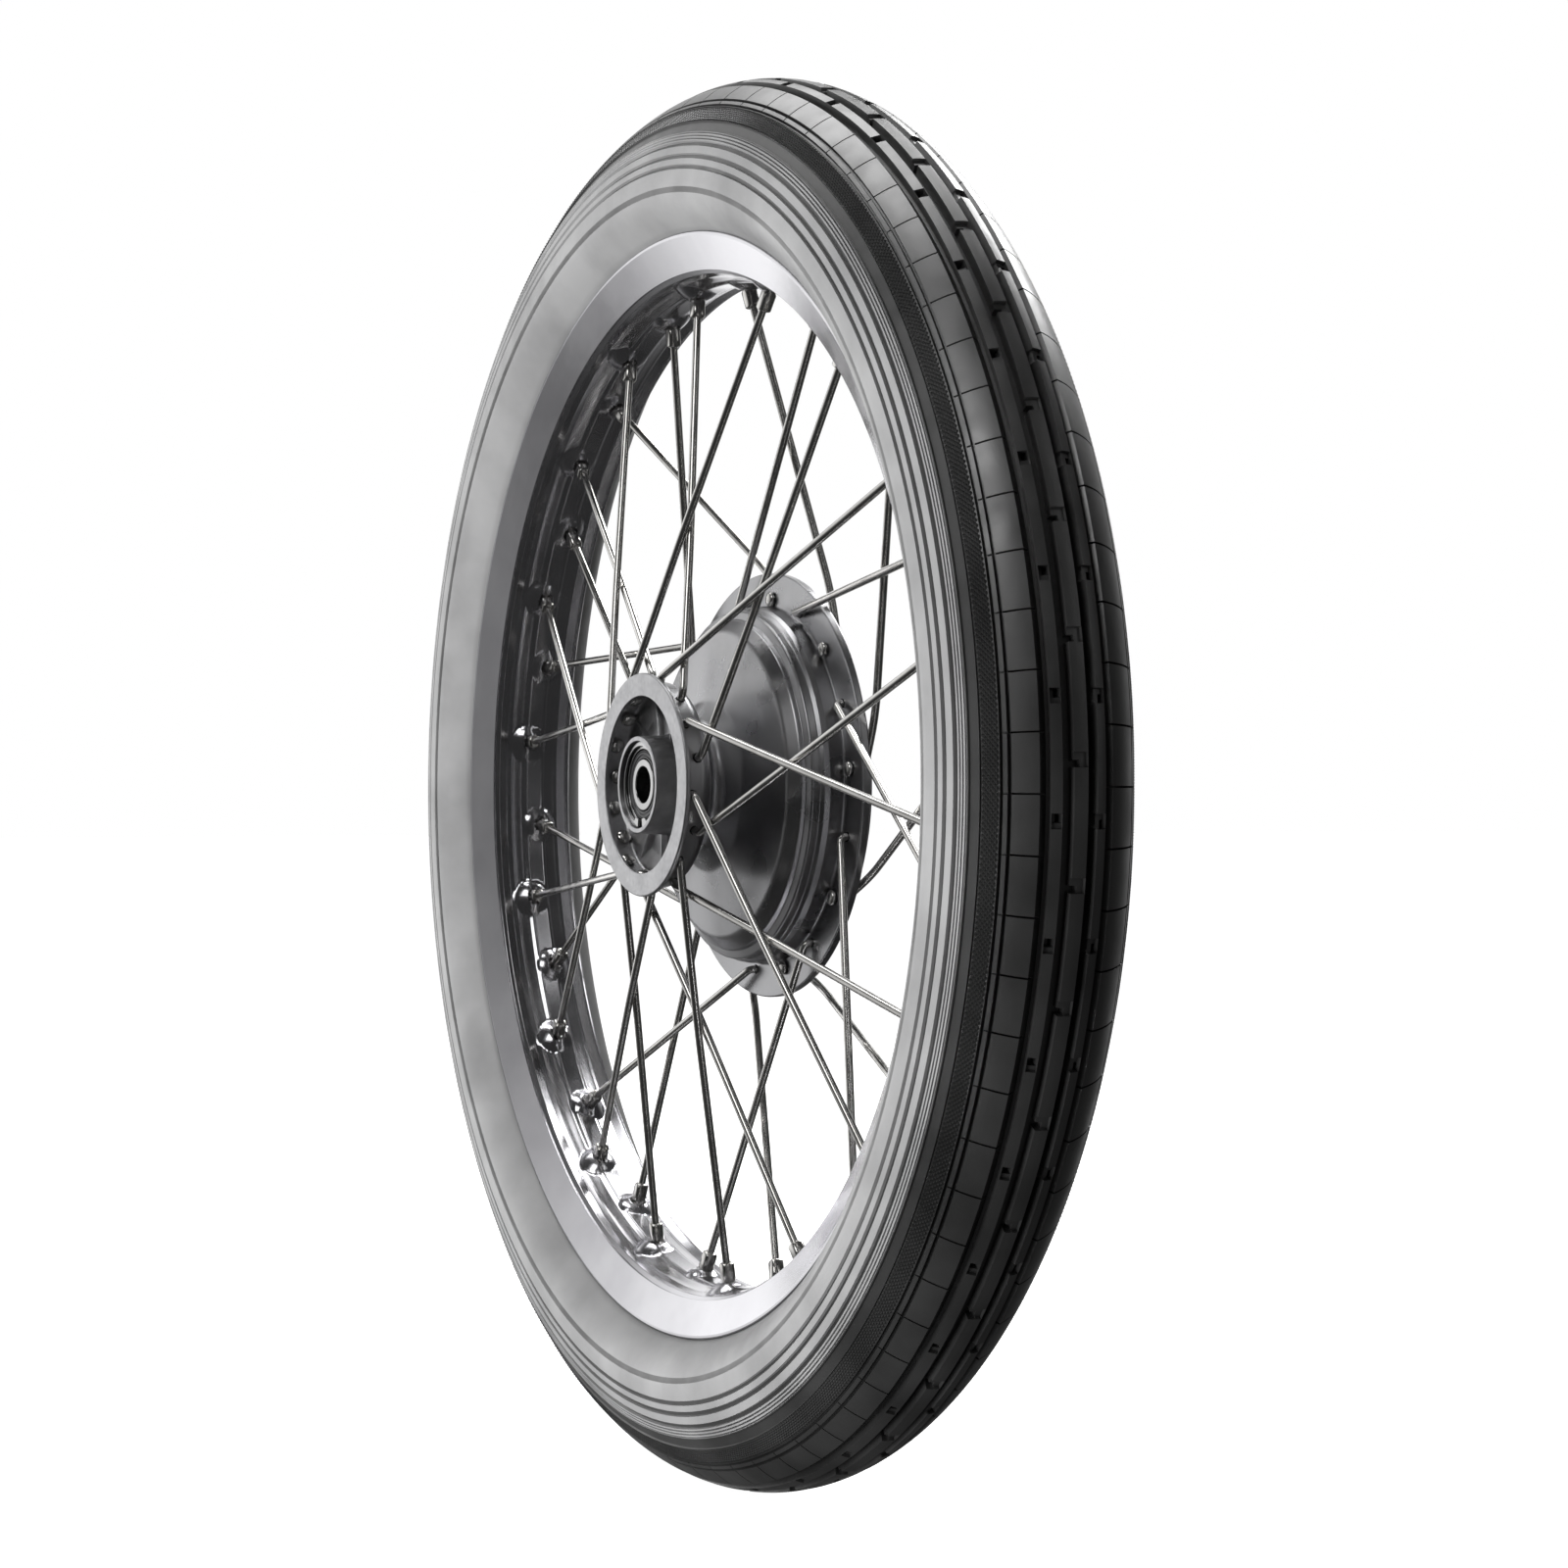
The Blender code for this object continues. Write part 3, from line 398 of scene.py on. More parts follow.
def rounded(corners, steps=4):
    """The loop of (radius, y, fillet) corners with an arc at each, and a short flat run on both sides of it."""
    points = []
    for i, (radius, y, fillet) in enumerate(corners):
        corner = Vector((radius, y))
        if not fillet:
            points.append(corner)
            continue
        before = Vector(corners[i - 1][:2]) - corner
        after = Vector(corners[(i + 1) % len(corners)][:2]) - corner
        half = before.angle(after) / 2
        reach = min(fillet / tan(half), 0.40 * before.length, 0.40 * after.length)
        support = min(0.25 * reach, 0.04 * before.length, 0.04 * after.length)
        start = corner + before.normalized() * reach
        end = corner + after.normalized() * reach
        points.append(start + before.normalized() * support)
        points += bent(start, corner, end, steps)
        points.append(end + after.normalized() * support)
    return [(point[0], point[1]) for point in points]


def ring_mesh(rings):
    """Verts and faces of a closed ring, from one closed loop of points for each step round the axle."""
    verts = [point for ring in rings for point in ring]
    size = len(rings[0])
    faces = []
    for i in range(len(rings)):
        here, there = i * size, (i + 1) % len(rings) * size
        for j in range(size):
            k = (j + 1) % size
            faces.append((here + j, here + k, there + k, there + j))
    return verts, faces


def lathe(profile, segments):
    return ring_mesh([[around(r, 2 * pi * i / segments, y) for r, y in profile] for i in range(segments)])


def merged(*parts):
    """Several (verts, faces) shapes as one."""
    verts, faces = [], []
    for more_verts, more_faces in parts:
        first = len(verts)
        verts += more_verts
        faces += [tuple(first + i for i in face) for face in more_faces]
    return verts, faces


def rod_faces(count, size):
    """Faces of a rod with a cap at both ends: this many loops, each of size points."""
    faces = []
    for i in range(count - 1):
        for j in range(size):
            k = (j + 1) % size
            faces.append((i * size + j, i * size + k, (i + 1) * size + k, (i + 1) * size + j))
    return faces + [tuple(range(size)), tuple(range((count - 1) * size, count * size))]


def sweep(points, radii, sides, reference, squareness=None):
    """A closed rod through the points; squareness pulls each section from a circle towards a square."""
    verts = []
    across = reference
    for i, point in enumerate(points):
        along = (points[min(i + 1, len(points) - 1)] - points[max(i - 1, 0)]).normalized()
        across = (across - along * across.dot(along)).normalized()
        other = along.cross(across)
        pull = squareness[i] if squareness else 0.0
        for side in range(sides):
            turn = 2 * pi * (side + 0.5) / sides
            reach = 1 / max(abs(cos(turn)), abs(sin(turn)))
            radius = radii[i] * (1 + pull * (min(reach, 1.18) - 1))
            verts.append(point + (across * cos(turn) + other * sin(turn)) * radius)
    return verts, rod_faces(len(points), sides)


def cut(obj, tool_shape, operation="DIFFERENCE"):
    """Cuts or adds the shape for good, so that no modifier is left on the piece."""
    mesh = outward_mesh("tool", *tool_shape)
    tool = placed("tool", mesh)
    change = obj.modifiers.new("cut", "BOOLEAN")
    change.operation = operation
    change.solver = "EXACT"
    change.object = tool
    bpy.context.view_layer.update()
    result = bpy.data.meshes.new_from_object(obj.evaluated_get(bpy.context.evaluated_depsgraph_get()))
    obj.modifiers.clear()
    old = obj.data
    result.name = old.name + "_cut"
    obj.data = result
    bpy.data.meshes.remove(old)
    bpy.data.objects.remove(tool)
    bpy.data.meshes.remove(mesh)
    smoothed(result, 38)


# ---------------------------------------------------------------- tyre


def arc_point(turn, depth=0.0):
    """A point on the tyre's outside at this angle over the crown, sunk by the depth."""
    crown = CROWN_RADIUS - WIDEST_RADIUS
    normal = Vector((cos(turn) / crown, sin(turn) / HALF_WIDTH)).normalized()
    point = Vector((WIDEST_RADIUS + crown * cos(turn), HALF_WIDTH * sin(turn)))
    return point - normal * depth


def tread_angle(y):
    return degrees(asin(y / HALF_WIDTH))


def trapezoid(value, start, floor_start, floor_end, end):
    """Rises from 0 at the start to 1 over the floor and falls back to 0 at the end."""
    if value <= start or value >= end:
        return 0.0
    if value < floor_start:
        return (value - start) / (floor_start - start)
    if value > floor_end:
        return (end - value) / (end - floor_end)
    return 1.0


def groove(start, end, depth, wall=0.35):
    return (start, start + wall, end - wall, end, depth)


def mirrored(grooves):
    return [tuple(-angle for angle in reversed(angles)) + (depth,) for *angles, depth in grooves]


NEAR_SIDE = [
    groove(-81.4, -79.1, SIDE_GROOVE_DEPTH),
    groove(-76.0, -73.4, SIDE_GROOVE_DEPTH),
    groove(-69.4, -66.7, SIDE_GROOVE_DEPTH),
    groove(-65.9, -65.0, SIDE_GROOVE_DEPTH * 0.8, 0.25),
    groove(-64.2, -63.3, SIDE_GROOVE_DEPTH * 0.8, 0.25),
    groove(-62.5, -61.6, SIDE_GROOVE_DEPTH * 0.8, 0.25),
    groove(-60.8, -55.0, SIDE_GROOVE_DEPTH * 0.6),
    groove(-54.95, -45.25, KNURL_SEAT_DEPTH, 0.15),
    groove(-45.0, -43.4, GROOVE_DEPTH * 0.45),
    groove(-41.2, -39.3, GROOVE_DEPTH * 0.55),
]
TREAD_GROOVES = [
    tuple(tread_angle(y) for y in (-0.0182, -0.0160, -0.0147, -0.0143)) + (GROOVE_DEPTH,),
    tuple(tread_angle(y) for y in (-0.0103, -0.0087, -0.0063, -0.0059)) + (GROOVE_DEPTH,),
    tuple(tread_angle(y) for y in (-0.0001, 0.0003, 0.0027, 0.0043)) + (GROOVE_DEPTH,),
    tuple(tread_angle(y) for y in (0.0083, 0.0087, 0.0100, 0.0122)) + (GROOVE_DEPTH,),
]
GROOVES = NEAR_SIDE + TREAD_GROOVES + mirrored(NEAR_SIDE)


def notch(start, end, low_y, high_y, depth, wall=0.05):
    """A cut across a rib: turning angles within one pitch, sides across the tread, depth."""
    return (start, start + wall, end - wall, end), (tread_angle(low_y), tread_angle(high_y)), depth


NOTCHES = [
    notch(5.05, 6.10, -0.0143, -0.0103, NOTCH_DEPTH),
    notch(5.45, 6.10, -0.0143, -0.0123, GROOVE_DEPTH),
    notch(0.78, 1.83, -0.0059, -0.0001, NOTCH_DEPTH),
    notch(0.78, 1.30, -0.0059, -0.0030, GROOVE_DEPTH),
    notch(5.05, 6.10, 0.0043, 0.0083, NOTCH_DEPTH),
    notch(5.05, 5.70, 0.0063, 0.0083, GROOVE_DEPTH),
]
for sipe in ((3.13, 3.27), (7.32, 7.46)):
    NOTCHES.append(notch(*sipe, -0.0266, -0.0165, SIPE_DEPTH, SIPE_WALL))
    NOTCHES.append(notch(*sipe, -0.0289, -0.0276, SHORT_SIPE_DEPTH, SIPE_WALL))
for sipe in ((3.63, 3.77), (7.81, 7.95)):
    NOTCHES.append(notch(*sipe, 0.0105, 0.0266, SIPE_DEPTH, SIPE_WALL))
    NOTCHES.append(notch(*sipe, 0.0276, 0.0289, SHORT_SIPE_DEPTH, SIPE_WALL))


def filled(stations, widest):
    """The sorted stations with more between them wherever they lie too far apart."""
    ordered = sorted(set(round(s, 4) for s in stations))
    result = []
    for low, high in zip(ordered, ordered[1:]):
        count = ceil((high - low) / widest)
        result += [low + (high - low) * i / count for i in range(count)]
    return result + [ordered[-1]]


def tyre_rows():
    """Angles over the crown at which the outside of the tyre has a row of points."""
    stations = [-90.0, 90.0]
    for start, floor_start, floor_end, end, _ in GROOVES:
        stations += [start - 0.12, start, floor_start, floor_end, end, end + 0.12]
    for _, (low, high), _ in NOTCHES:
        stations += [low, low + 0.2, high - 0.2, high]
    return filled(stations, 3.0)


def tyre_columns():
    """Turning angles within one pitch, in degrees."""
    stations = [0.0, PITCH]
    for turns, _, _ in NOTCHES:
        stations += [turns[0] - 0.02, *turns, turns[3] + 0.02]
    return filled(stations, 0.7)[:-1]


def tyre_depth(row, column):
    depth = max(g[4] * trapezoid(row, *g[:4]) for g in GROOVES)
    for turns, (low, high), cut_depth in NOTCHES:
        if low <= row <= high:
            depth = max(depth, cut_depth * trapezoid(column, *turns))
    return depth


def tyre_side(side):
    """The lower sidewall, from the widest point down to the rim's lip, and round the bead to its heel."""
    foot_radius, foot_y = RIM_LIP_RADIUS + 0.0002, RIM_LIP_HALF_WIDTH - 0.0004
    lower = []
    for i in range(1, LOWER_SIDE_STEPS + 1):
        t = i / LOWER_SIDE_STEPS
        radius = WIDEST_RADIUS + (foot_radius - WIDEST_RADIUS) * t - sin(t * pi) * LOWER_SIDE_BULGE
        lower.append((radius, HALF_WIDTH + (foot_y - HALF_WIDTH) * t ** LOWER_SIDE_CURVE))
    seat = BEAD_SEAT_RADIUS + 2 * GAP
    bead = [
        (foot_radius, RIM_LIP_HALF_WIDTH - RIM_LIP_THICKNESS - 2 * GAP),
        (seat, BEAD_SEAT_HALF_WIDTH - 2 * GAP),
        (seat, WELL_HALF_WIDTH + WELL_SLOPE_WIDTH + 0.0005),
        (seat + BEAD_HEIGHT, BEAD_SEAT_HALF_WIDTH - 0.0040),
    ]
    return [(r, side * y) for r, y in lower + bead]


def tyre_inside():
    """The casing's inside, from the +Y bead over the crown to the -Y bead."""
    crown = CROWN_RADIUS - TREAD_THICKNESS - WIDEST_RADIUS
    wide = HALF_WIDTH - SIDEWALL_THICKNESS
    turns = [pi * (0.5 - i / 24) for i in range(25)]
    return [(WIDEST_RADIUS + crown * cos(turn), wide * sin(turn)) for turn in turns]


def knurl_ring(side):
    """A band of fine pyramids over the tyre's shoulder, with a flat back sunk into it."""
    columns = PITCHES * KNURLS_PER_PITCH * 2
    low, high = KNURL_BAND
    rings = []
    for i in range(columns):
        angle = 2 * pi * i / columns
        ring = []
        for j in range(KNURL_ROWS):
            row = radians(low + (high - low) * j / (KNURL_ROWS - 1))
            raised = (i + j) % 2 == 0 and 0 < j < KNURL_ROWS - 1
            radius, y = arc_point(side * row, -KNURL_LIFT if raised else KNURL_SINK)
            ring.append(around(radius, angle, y))
        for row in (high, low):
            radius, y = arc_point(side * radians(row), KNURL_BACK_DEPTH)
            ring.append(around(radius, angle, y))
        rings.append(ring)
    verts, faces = ring_mesh(rings)
    split = []
    for face in faces:
        i, j = divmod(face[0], KNURL_ROWS + 2)
        if j >= KNURL_ROWS - 1:
            split.append(face)
        elif (i + j) % 2 == 0:
            split += [(face[0], face[1], face[3]), (face[1], face[2], face[3])]
        else:
            split += [(face[0], face[1], face[2]), (face[0], face[2], face[3])]
    return verts, split


def tyre():
    """The cover and its two knurled bands as one piece, with painted sheen on the flat of the sidewalls: a
    paler rubber colour standing in for the light they catch.
    """
    rows = tyre_rows()
    columns = tyre_columns()
    outline = [[arc_point(radians(row), tyre_depth(row, column)) for row in rows] for column in columns]
    rest = tyre_side(1) + tyre_inside() + list(reversed(tyre_side(-1)))
    rings = []
    for pitch in range(PITCHES):
        for column, over in zip(columns, outline):
            angle = radians(pitch * PITCH + column)
            rings.append([around(r, angle, y) for r, y in over + rest])
    shape = merged(ring_mesh(rings), knurl_ring(-1), knurl_ring(1))
    obj = publish("tyre_cover", *shape, "tyre", "wheel", "tyre_rubber", "tyre", 50)
    # Painted sheen: the shallow sidewall rows and the lower sidewall take the pale colour that stands in for
    # caught light.
    obj.data.materials.append(MATERIALS["sidewall"])
    painted_sheen_rows = []
    for row, then in zip(rows, rows[1:]):
        shallow = min(tyre_depth(row, 0), tyre_depth(then, 0)) < SHEEN_PAINT_DEPTH
        painted_sheen_rows.append(min(abs(row), abs(then)) > SHEEN_PAINT_FROM and shallow)
    lower_side = [True] * LOWER_SIDE_STEPS
    painted_sheen_rows += lower_side + [False] * (len(rest) - 2 * LOWER_SIDE_STEPS) + lower_side + [False]
    size = len(rings[0])
    for face in obj.data.polygons:
        if face.index < len(rings) * size and painted_sheen_rows[face.index % size]:
            face.material_index = 1


# ---------------------------------------------------------------- spokes


def rim_angle(index):
    return RIM_HOLE_PHASE + 2 * pi * index / SPOKE_COUNT


def is_drum_side(index):
    return index % 2 == 0


def leads(index):
    return (index // 2) % 2 == 1


def hub_angle(index):
    return rim_angle(index) + (CROSS_ANGLE if leads(index) else -CROSS_ANGLE)


def rim_end(index):
    y = RIM_HOLE_OFFSET if is_drum_side(index) else -RIM_HOLE_OFFSET
    return around(WELL_RADIUS, rim_angle(index), y)


def spoke_elbow(index):
    stand_off = SPOKE_BEND + GAP
    if is_drum_side(index):
        back = FLANGE_FACE_Y + FLANGE_THICKNESS
        y = FLANGE_FACE_Y - stand_off if leads(index) else back + stand_off
        return around(FLANGE_HOLE_RADIUS, hub_angle(index), y)
    y = CUP_ROW_Y + (-1 if leads(index) else 1) * CROSSING_SPREAD
    return around(CUP_INNER_RADIUS + CUP_WALL + stand_off, hub_angle(index), y)


def spoke_head(index):
    if is_drum_side(index):
        outward = AXLE if leads(index) else -AXLE
        seat_y = FLANGE_FACE_Y + FLANGE_THICKNESS + GAP if leads(index) else FLANGE_FACE_Y - GAP
        return around(FLANGE_HOLE_RADIUS, hub_angle(index), seat_y), outward
    row = CUP_ROW_Y + (-CUP_ROW_STEP / 2 if leads(index) else CUP_ROW_STEP / 2)
    seat = around(CUP_INNER_RADIUS - 2 * GAP, hub_angle(index), row)
    return seat, (seat - spoke_elbow(index)).normalized()


def run_middle(index):
    elbow = spoke_elbow(index)
    end = rim_end(index)
    if is_drum_side(index):
        if leads(index):
            return elbow.lerp(end, 0.5)
        edge = elbow.lerp(end, FLANGE_EDGE_CROSSING)
        edge.y = FLANGE_FACE_Y + FLANGE_THICKNESS + SPOKE_RADIUS + 2 * GAP
        return edge
    middle = elbow.lerp(end, CUP_CROSSING)
    straight = CUP_ROW_Y + (end.y - CUP_ROW_Y) * CUP_CROSSING
    middle.y = straight + CROSSING_SPREAD * (-1 if leads(index) else 1)
    return middle


def spoke(index):
    """One headed, bent spoke and the sleeve nut on its threaded end."""
    seat, outward = spoke_head(index)
    elbow = spoke_elbow(index)
    middle = run_middle(index)
    end = rim_end(index)
    along = (end - middle).normalized()
    leaving = (middle - elbow).normalized()
    bend = bent(elbow - (elbow - seat).normalized() * SPOKE_BEND, elbow, elbow + leaving * SPOKE_BEND, 7)
    run = bent(middle - leaving * RUN_EASING, middle, middle + along * RUN_EASING, 5)
    top = seat + outward * SPOKE_HEAD_HEIGHT
    head = [
        (top + outward * 0.0002, 0.0004),
        (top, SPOKE_HEAD_RADIUS * 0.45),
        (top - outward * 0.0003, SPOKE_HEAD_RADIUS * 0.78),
        (top - outward * 0.0008, SPOKE_HEAD_RADIUS * 0.95),
        (top - outward * 0.0014, SPOKE_HEAD_RADIUS),
        (seat + outward * 0.0003, SPOKE_HEAD_RADIUS * 0.97),
        (seat + outward * 0.0001, SPOKE_HEAD_RADIUS * 0.85),
        (seat, SPOKE_RADIUS * 1.15),
    ]
    stations = head + [(point, SPOKE_RADIUS) for point in bend + run]
    stations.append((end - along * NIPPLE_LENGTH * 0.8, SPOKE_RADIUS * 0.97))
    points, radii = zip(*stations)
    wire = sweep(points, radii, 14, AXLE.cross(along))
    start = end - along * NIPPLE_LENGTH
    sleeve = [
        (start, SPOKE_RADIUS + 0.0001, 0.0),
        (start + along * 0.0001, NIPPLE_RADIUS * 0.84, 0.0),
        (start + along * 0.0005, NIPPLE_RADIUS * 0.97, 0.6),
        (start + along * 0.0009, NIPPLE_RADIUS, 1.0),
        (start + along * 0.0084, NIPPLE_RADIUS, 1.0),
        (start + along * 0.0090, NIPPLE_RADIUS * 0.98, 0.3),
        (start + along * 0.0092, NIPPLE_RADIUS * 0.96, 0.0),
        (end + along * 0.0010, NIPPLE_RADIUS * 0.96, 0.0),
        (end + along * 0.0018, NIPPLE_HEAD_RADIUS, 0.0),
        (end + along * 0.0034, NIPPLE_HEAD_RADIUS * 0.8, 0.0),
    ]
    points, radii, squareness = zip(*sleeve)
    nut = sweep(points, radii, 24, AXLE.cross(along), squareness)
    side = "drum" if is_drum_side(index) else "cup"
    number = f"{index // 2 + 1:02d}"
    name, node = f"spoke_wire_{side}_{number}", f"spoke_{side}_{number}"
    publish(name, *merged(wire, nut), "spoke", "wheel", "spoke_steel", node, 50)


# ---------------------------------------------------------------- rim


def smooth_step(value):
    value = min(max(value, 0.0), 1.0)
    return value * value * (3 - 2 * value)


def rim_swell(radius, angle, y, domes):
    """How far the rim stands in towards the hub: a domed seat round each spoke nut, on a raised strip."""
    swell = STRIP_HEIGHT * (1 - smooth_step((abs(y) - STRIP_HALF_WIDTH) / STRIP_EDGE))
    index = round((angle - RIM_HOLE_PHASE) / (2 * pi / SPOKE_COUNT)) % SPOKE_COUNT
    dome_y, dome_along = domes[index]
    off = (angle - rim_angle(index) + pi) % (2 * pi) - pi
    distance = hypot(off * radius - dome_along, y - dome_y)
    if distance < DOME_RADIUS:
        swell = max(swell, DOME_HEIGHT * (1 - (distance / DOME_RADIUS) ** 2) ** DOME_FULLNESS)
        pit = 1 - smooth_step((distance - NIPPLE_RADIUS - NUT_PIT_CLEARANCE) / NUT_PIT_EDGE)
        swell -= pit * NUT_PIT_DEPTH
    return swell


def dome_centre(index):
    """Where a spoke nut comes through the rim: Y, and the distance round the rim from its hole."""
    end = rim_end(index)
    along = (end - run_middle(index)).normalized()
    centre = end - along * (RIM_WALL + DOME_HEIGHT * 0.7)
    return centre.y, centre.dot(around(1, rim_angle(index) + pi / 2, 0))


def rim():
    hub_side = WELL_RADIUS - RIM_WALL
    band_foot = BEAD_SEAT_RADIUS - RIM_WALL
    half = [
        (WELL_RADIUS, WELL_HALF_WIDTH, 0.0010),
        (BEAD_SEAT_RADIUS, WELL_HALF_WIDTH + WELL_SLOPE_WIDTH, 0.0010),
        (BEAD_SEAT_RADIUS, BEAD_SEAT_HALF_WIDTH, 0.0010),
        (RIM_LIP_RADIUS, RIM_LIP_HALF_WIDTH - RIM_LIP_THICKNESS, 0.0009),
        (RIM_LIP_RADIUS, RIM_LIP_HALF_WIDTH, 0.0007),
        (RIM_LIP_RADIUS - 0.0017, RIM_LIP_HALF_WIDTH, 0.0004),
        (band_foot, SIDE_BAND_FOOT, 0.0003),
        (band_foot + 0.0006, SIDE_BAND_FOOT - 0.0010, 0.0003),
        (band_foot - 0.0014, SIDE_BAND_FOOT - 0.0026, 0.0004),
        (band_foot - 0.0004, SIDE_BAND_FOOT - 0.0070, 0.0010),
    ]
    loop = rounded(half + [(r, -y, fillet) for r, y, fillet in reversed(half)])
    edge_y = SIDE_BAND_FOOT - HUB_SIDE_INSET
    first = max(i for i, (r, y) in enumerate(loop) if y > edge_y)
    last = min(i for i, (r, y) in enumerate(loop) if y < -edge_y and i > first)
    dense = []
    for i in range(HUB_SIDE_STEPS + 1):
        y = edge_y * (1 - 2 * i / HUB_SIDE_STEPS)
        dense.append((hub_side + HUB_SIDE_RISE * smooth_step((abs(y) - HUB_SIDE_FLAT) / HUB_SIDE_SLOPE), y))
    domes = [dome_centre(index) for index in range(SPOKE_COUNT)]
    rings = []
    for step in range(RIM_SEGMENTS):
        angle = 2 * pi * step / RIM_SEGMENTS
        ring = [around(r, angle, y) for r, y in loop[:first + 1]]
        ring += [around(r - rim_swell(r, angle, y, domes), angle, y) for r, y in dense]
        ring += [around(r, angle, y) for r, y in loop[last:]]
        rings.append(ring)
    publish("rim_shell", *ring_mesh(rings), "rim", "wheel", "rim_aluminium", "rim", 50)


# ---------------------------------------------------------------- hub


def hub_loop():
    lip_back = CUP_FACE_Y + CUP_LIP_THICKNESS
    cup_outer = CUP_INNER_RADIUS + CUP_WALL
    flange_back = FLANGE_FACE_Y + FLANGE_THICKNESS
    face_wall = 0.0042
    right_boss = RIGHT_BEARING_Y + BEARING_HALF_WIDTH + 0.0010
    bore = BORE_RADIUS + 0.0053
    return [
        (BOSS_RADIUS, BOSS_FACE_Y, 0.0005),
        (BOSS_RADIUS + 0.0008, CUP_FLOOR_Y, 0.0014),
        (CUP_INNER_RADIUS - 0.0100, CUP_FLOOR_Y, 0.0040),
        (CUP_INNER_RADIUS, CUP_ROW_Y + CUP_ROW_STEP / 2 + SPOKE_HEAD_RADIUS, 0.0020),
        (CUP_INNER_RADIUS, lip_back, 0.0006),
        (CUP_LIP_INNER_RADIUS, lip_back, 0.0004),
        (CUP_LIP_INNER_RADIUS, CUP_FACE_Y, 0.0006),
        (CUP_LIP_RADIUS, CUP_FACE_Y, 0.0017),
        (CUP_LIP_RADIUS, lip_back + 0.0006, 0.0008),
        (cup_outer, lip_back + 0.0006, 0.0010),
        (cup_outer, CUP_FLOOR_Y - 0.0010, 0.0060),
        (NECK_RADIUS, CUP_FLOOR_Y + 0.0090, 0.0060),
        (NECK_RADIUS + 0.0015, -0.0125, 0.0060),
        (NECK_RADIUS + 0.0110, -0.0062, 0.0080),
        (DRUM_FACE_RADIUS - 0.0055, 0.0000, 0.0060),
        (DRUM_FACE_RADIUS, 0.0045, 0.0020),
        (DRUM_FACE_RADIUS + 0.0006, 0.0066, 0.0005),
        (DRUM_STEP_RADIUS, 0.0078, 0.0012),
        (DRUM_STEP_RADIUS, 0.0120, 0.0010),
        (DRUM_SHELL_RADIUS - 0.0006, 0.0134, 0.0006),
        (DRUM_SHELL_RADIUS, 0.0160, 0.0008),
        (DRUM_SHELL_RADIUS, FLANGE_FACE_Y, 0.0014),
        (FLANGE_RADIUS, FLANGE_FACE_Y, 0.0008),
        (FLANGE_RADIUS, flange_back, 0.0008),
        (DRUM_MOUTH_RADIUS, flange_back, 0.0010),
        (DRUM_MOUTH_RADIUS, DRUM_MOUTH_Y, 0.0006),
        (DRUM_INNER_RADIUS, DRUM_MOUTH_Y, 0.0005),
        (DRUM_INNER_RADIUS, DRUM_MOUTH_Y - LINER_DEPTH - 0.0010, 0.0020),
        (DRUM_FACE_RADIUS - 0.0060, 0.0005 + face_wall, 0.0030),
        (NECK_RADIUS + 0.0110, -0.0060 + face_wall, 0.0040),
        (BOSS_RADIUS, 0.0010, 0.0030),
        (BOSS_RADIUS, right_boss, 0.0006),
        (BEARING_SEAT_RADIUS, right_boss, 0.0004),
        (BEARING_SEAT_RADIUS, RIGHT_BEARING_Y - BEARING_HALF_WIDTH - GAP, 0),
        (bore, RIGHT_BEARING_Y - BEARING_HALF_WIDTH - GAP, 0.0006),
        (bore, LEFT_BEARING_Y + BEARING_HALF_WIDTH + GAP, 0.0006),
        (BEARING_SEAT_RADIUS, LEFT_BEARING_Y + BEARING_HALF_WIDTH + GAP, 0),
        (BEARING_SEAT_RADIUS, BOSS_FACE_Y, 0.0004),
    ]


def cup_rib(number):
    """A thin radial web in the cup, with a rounded top edge."""
    inner, outer = BOSS_RADIUS - 0.0010, CUP_INNER_RADIUS - 0.0020
    thick, high = 0.0016, 0.0034
    base = CUP_FLOOR_Y + 0.0010
    section = [(-thick, 0), (-thick * 0.5, high), (-thick * 0.3, high + 0.0004), (0, high + 0.0005)]
    section += [(-x, y) for x, y in reversed(section[:3])]
    angle = RIM_HOLE_PHASE + 2 * pi * number / RIB_COUNT
    radial, tangent = around(1, angle, 0), around(1, angle + pi / 2, 0)
    verts = [radial * r + tangent * x - AXLE * (y - base) for r in (inner, outer) for x, y in section]
    return verts, rod_faces(2, len(section))


def hub():
    """The casting: turned, ribbed and drilled for the spokes, with polished, satin and rough-cast faces."""
    turned = lathe(rounded(hub_loop(), 5), HUB_SEGMENTS)
    obj = publish("hub_body", *turned, "hub", "wheel", "hub_aluminium", "hub_shell")
    cut(obj, merged(*[cup_rib(number) for number in range(RIB_COUNT)]), "UNION")
    holes = []
    for index in range(SPOKE_COUNT):
        seat, outward = spoke_head(index)
        reach = [seat + outward * 0.0010, spoke_elbow(index)]
        holes.append(sweep(reach, [SPOKE_RADIUS + 0.0005] * 2, 20, AXLE.cross(outward) + Vector((0.1, 0, 0.2))))
    cut(obj, merged(*holes))
    mesh = obj.data
    for name in ("cast", "satin"):
        mesh.materials.append(MATERIALS[name])
    for face in mesh.polygons:
        centre = face.center
        radius = hypot(centre.x, centre.z)
        in_cup_depth = CUP_FACE_Y + 0.0003 <= centre.y < -0.020
        inside_cup = in_cup_depth and BOSS_RADIUS - 0.0004 < radius < CUP_INNER_RADIUS + 0.0002
        in_drum_depth = centre.y > -0.003 and face.normal.y >= -0.2
        inside_drum = in_drum_depth and radius < DRUM_INNER_RADIUS + 0.0002
        if inside_cup or inside_drum:
            face.material_index = 1
        elif centre.y < CUP_FACE_Y + 0.0022:
            face.material_index = 2


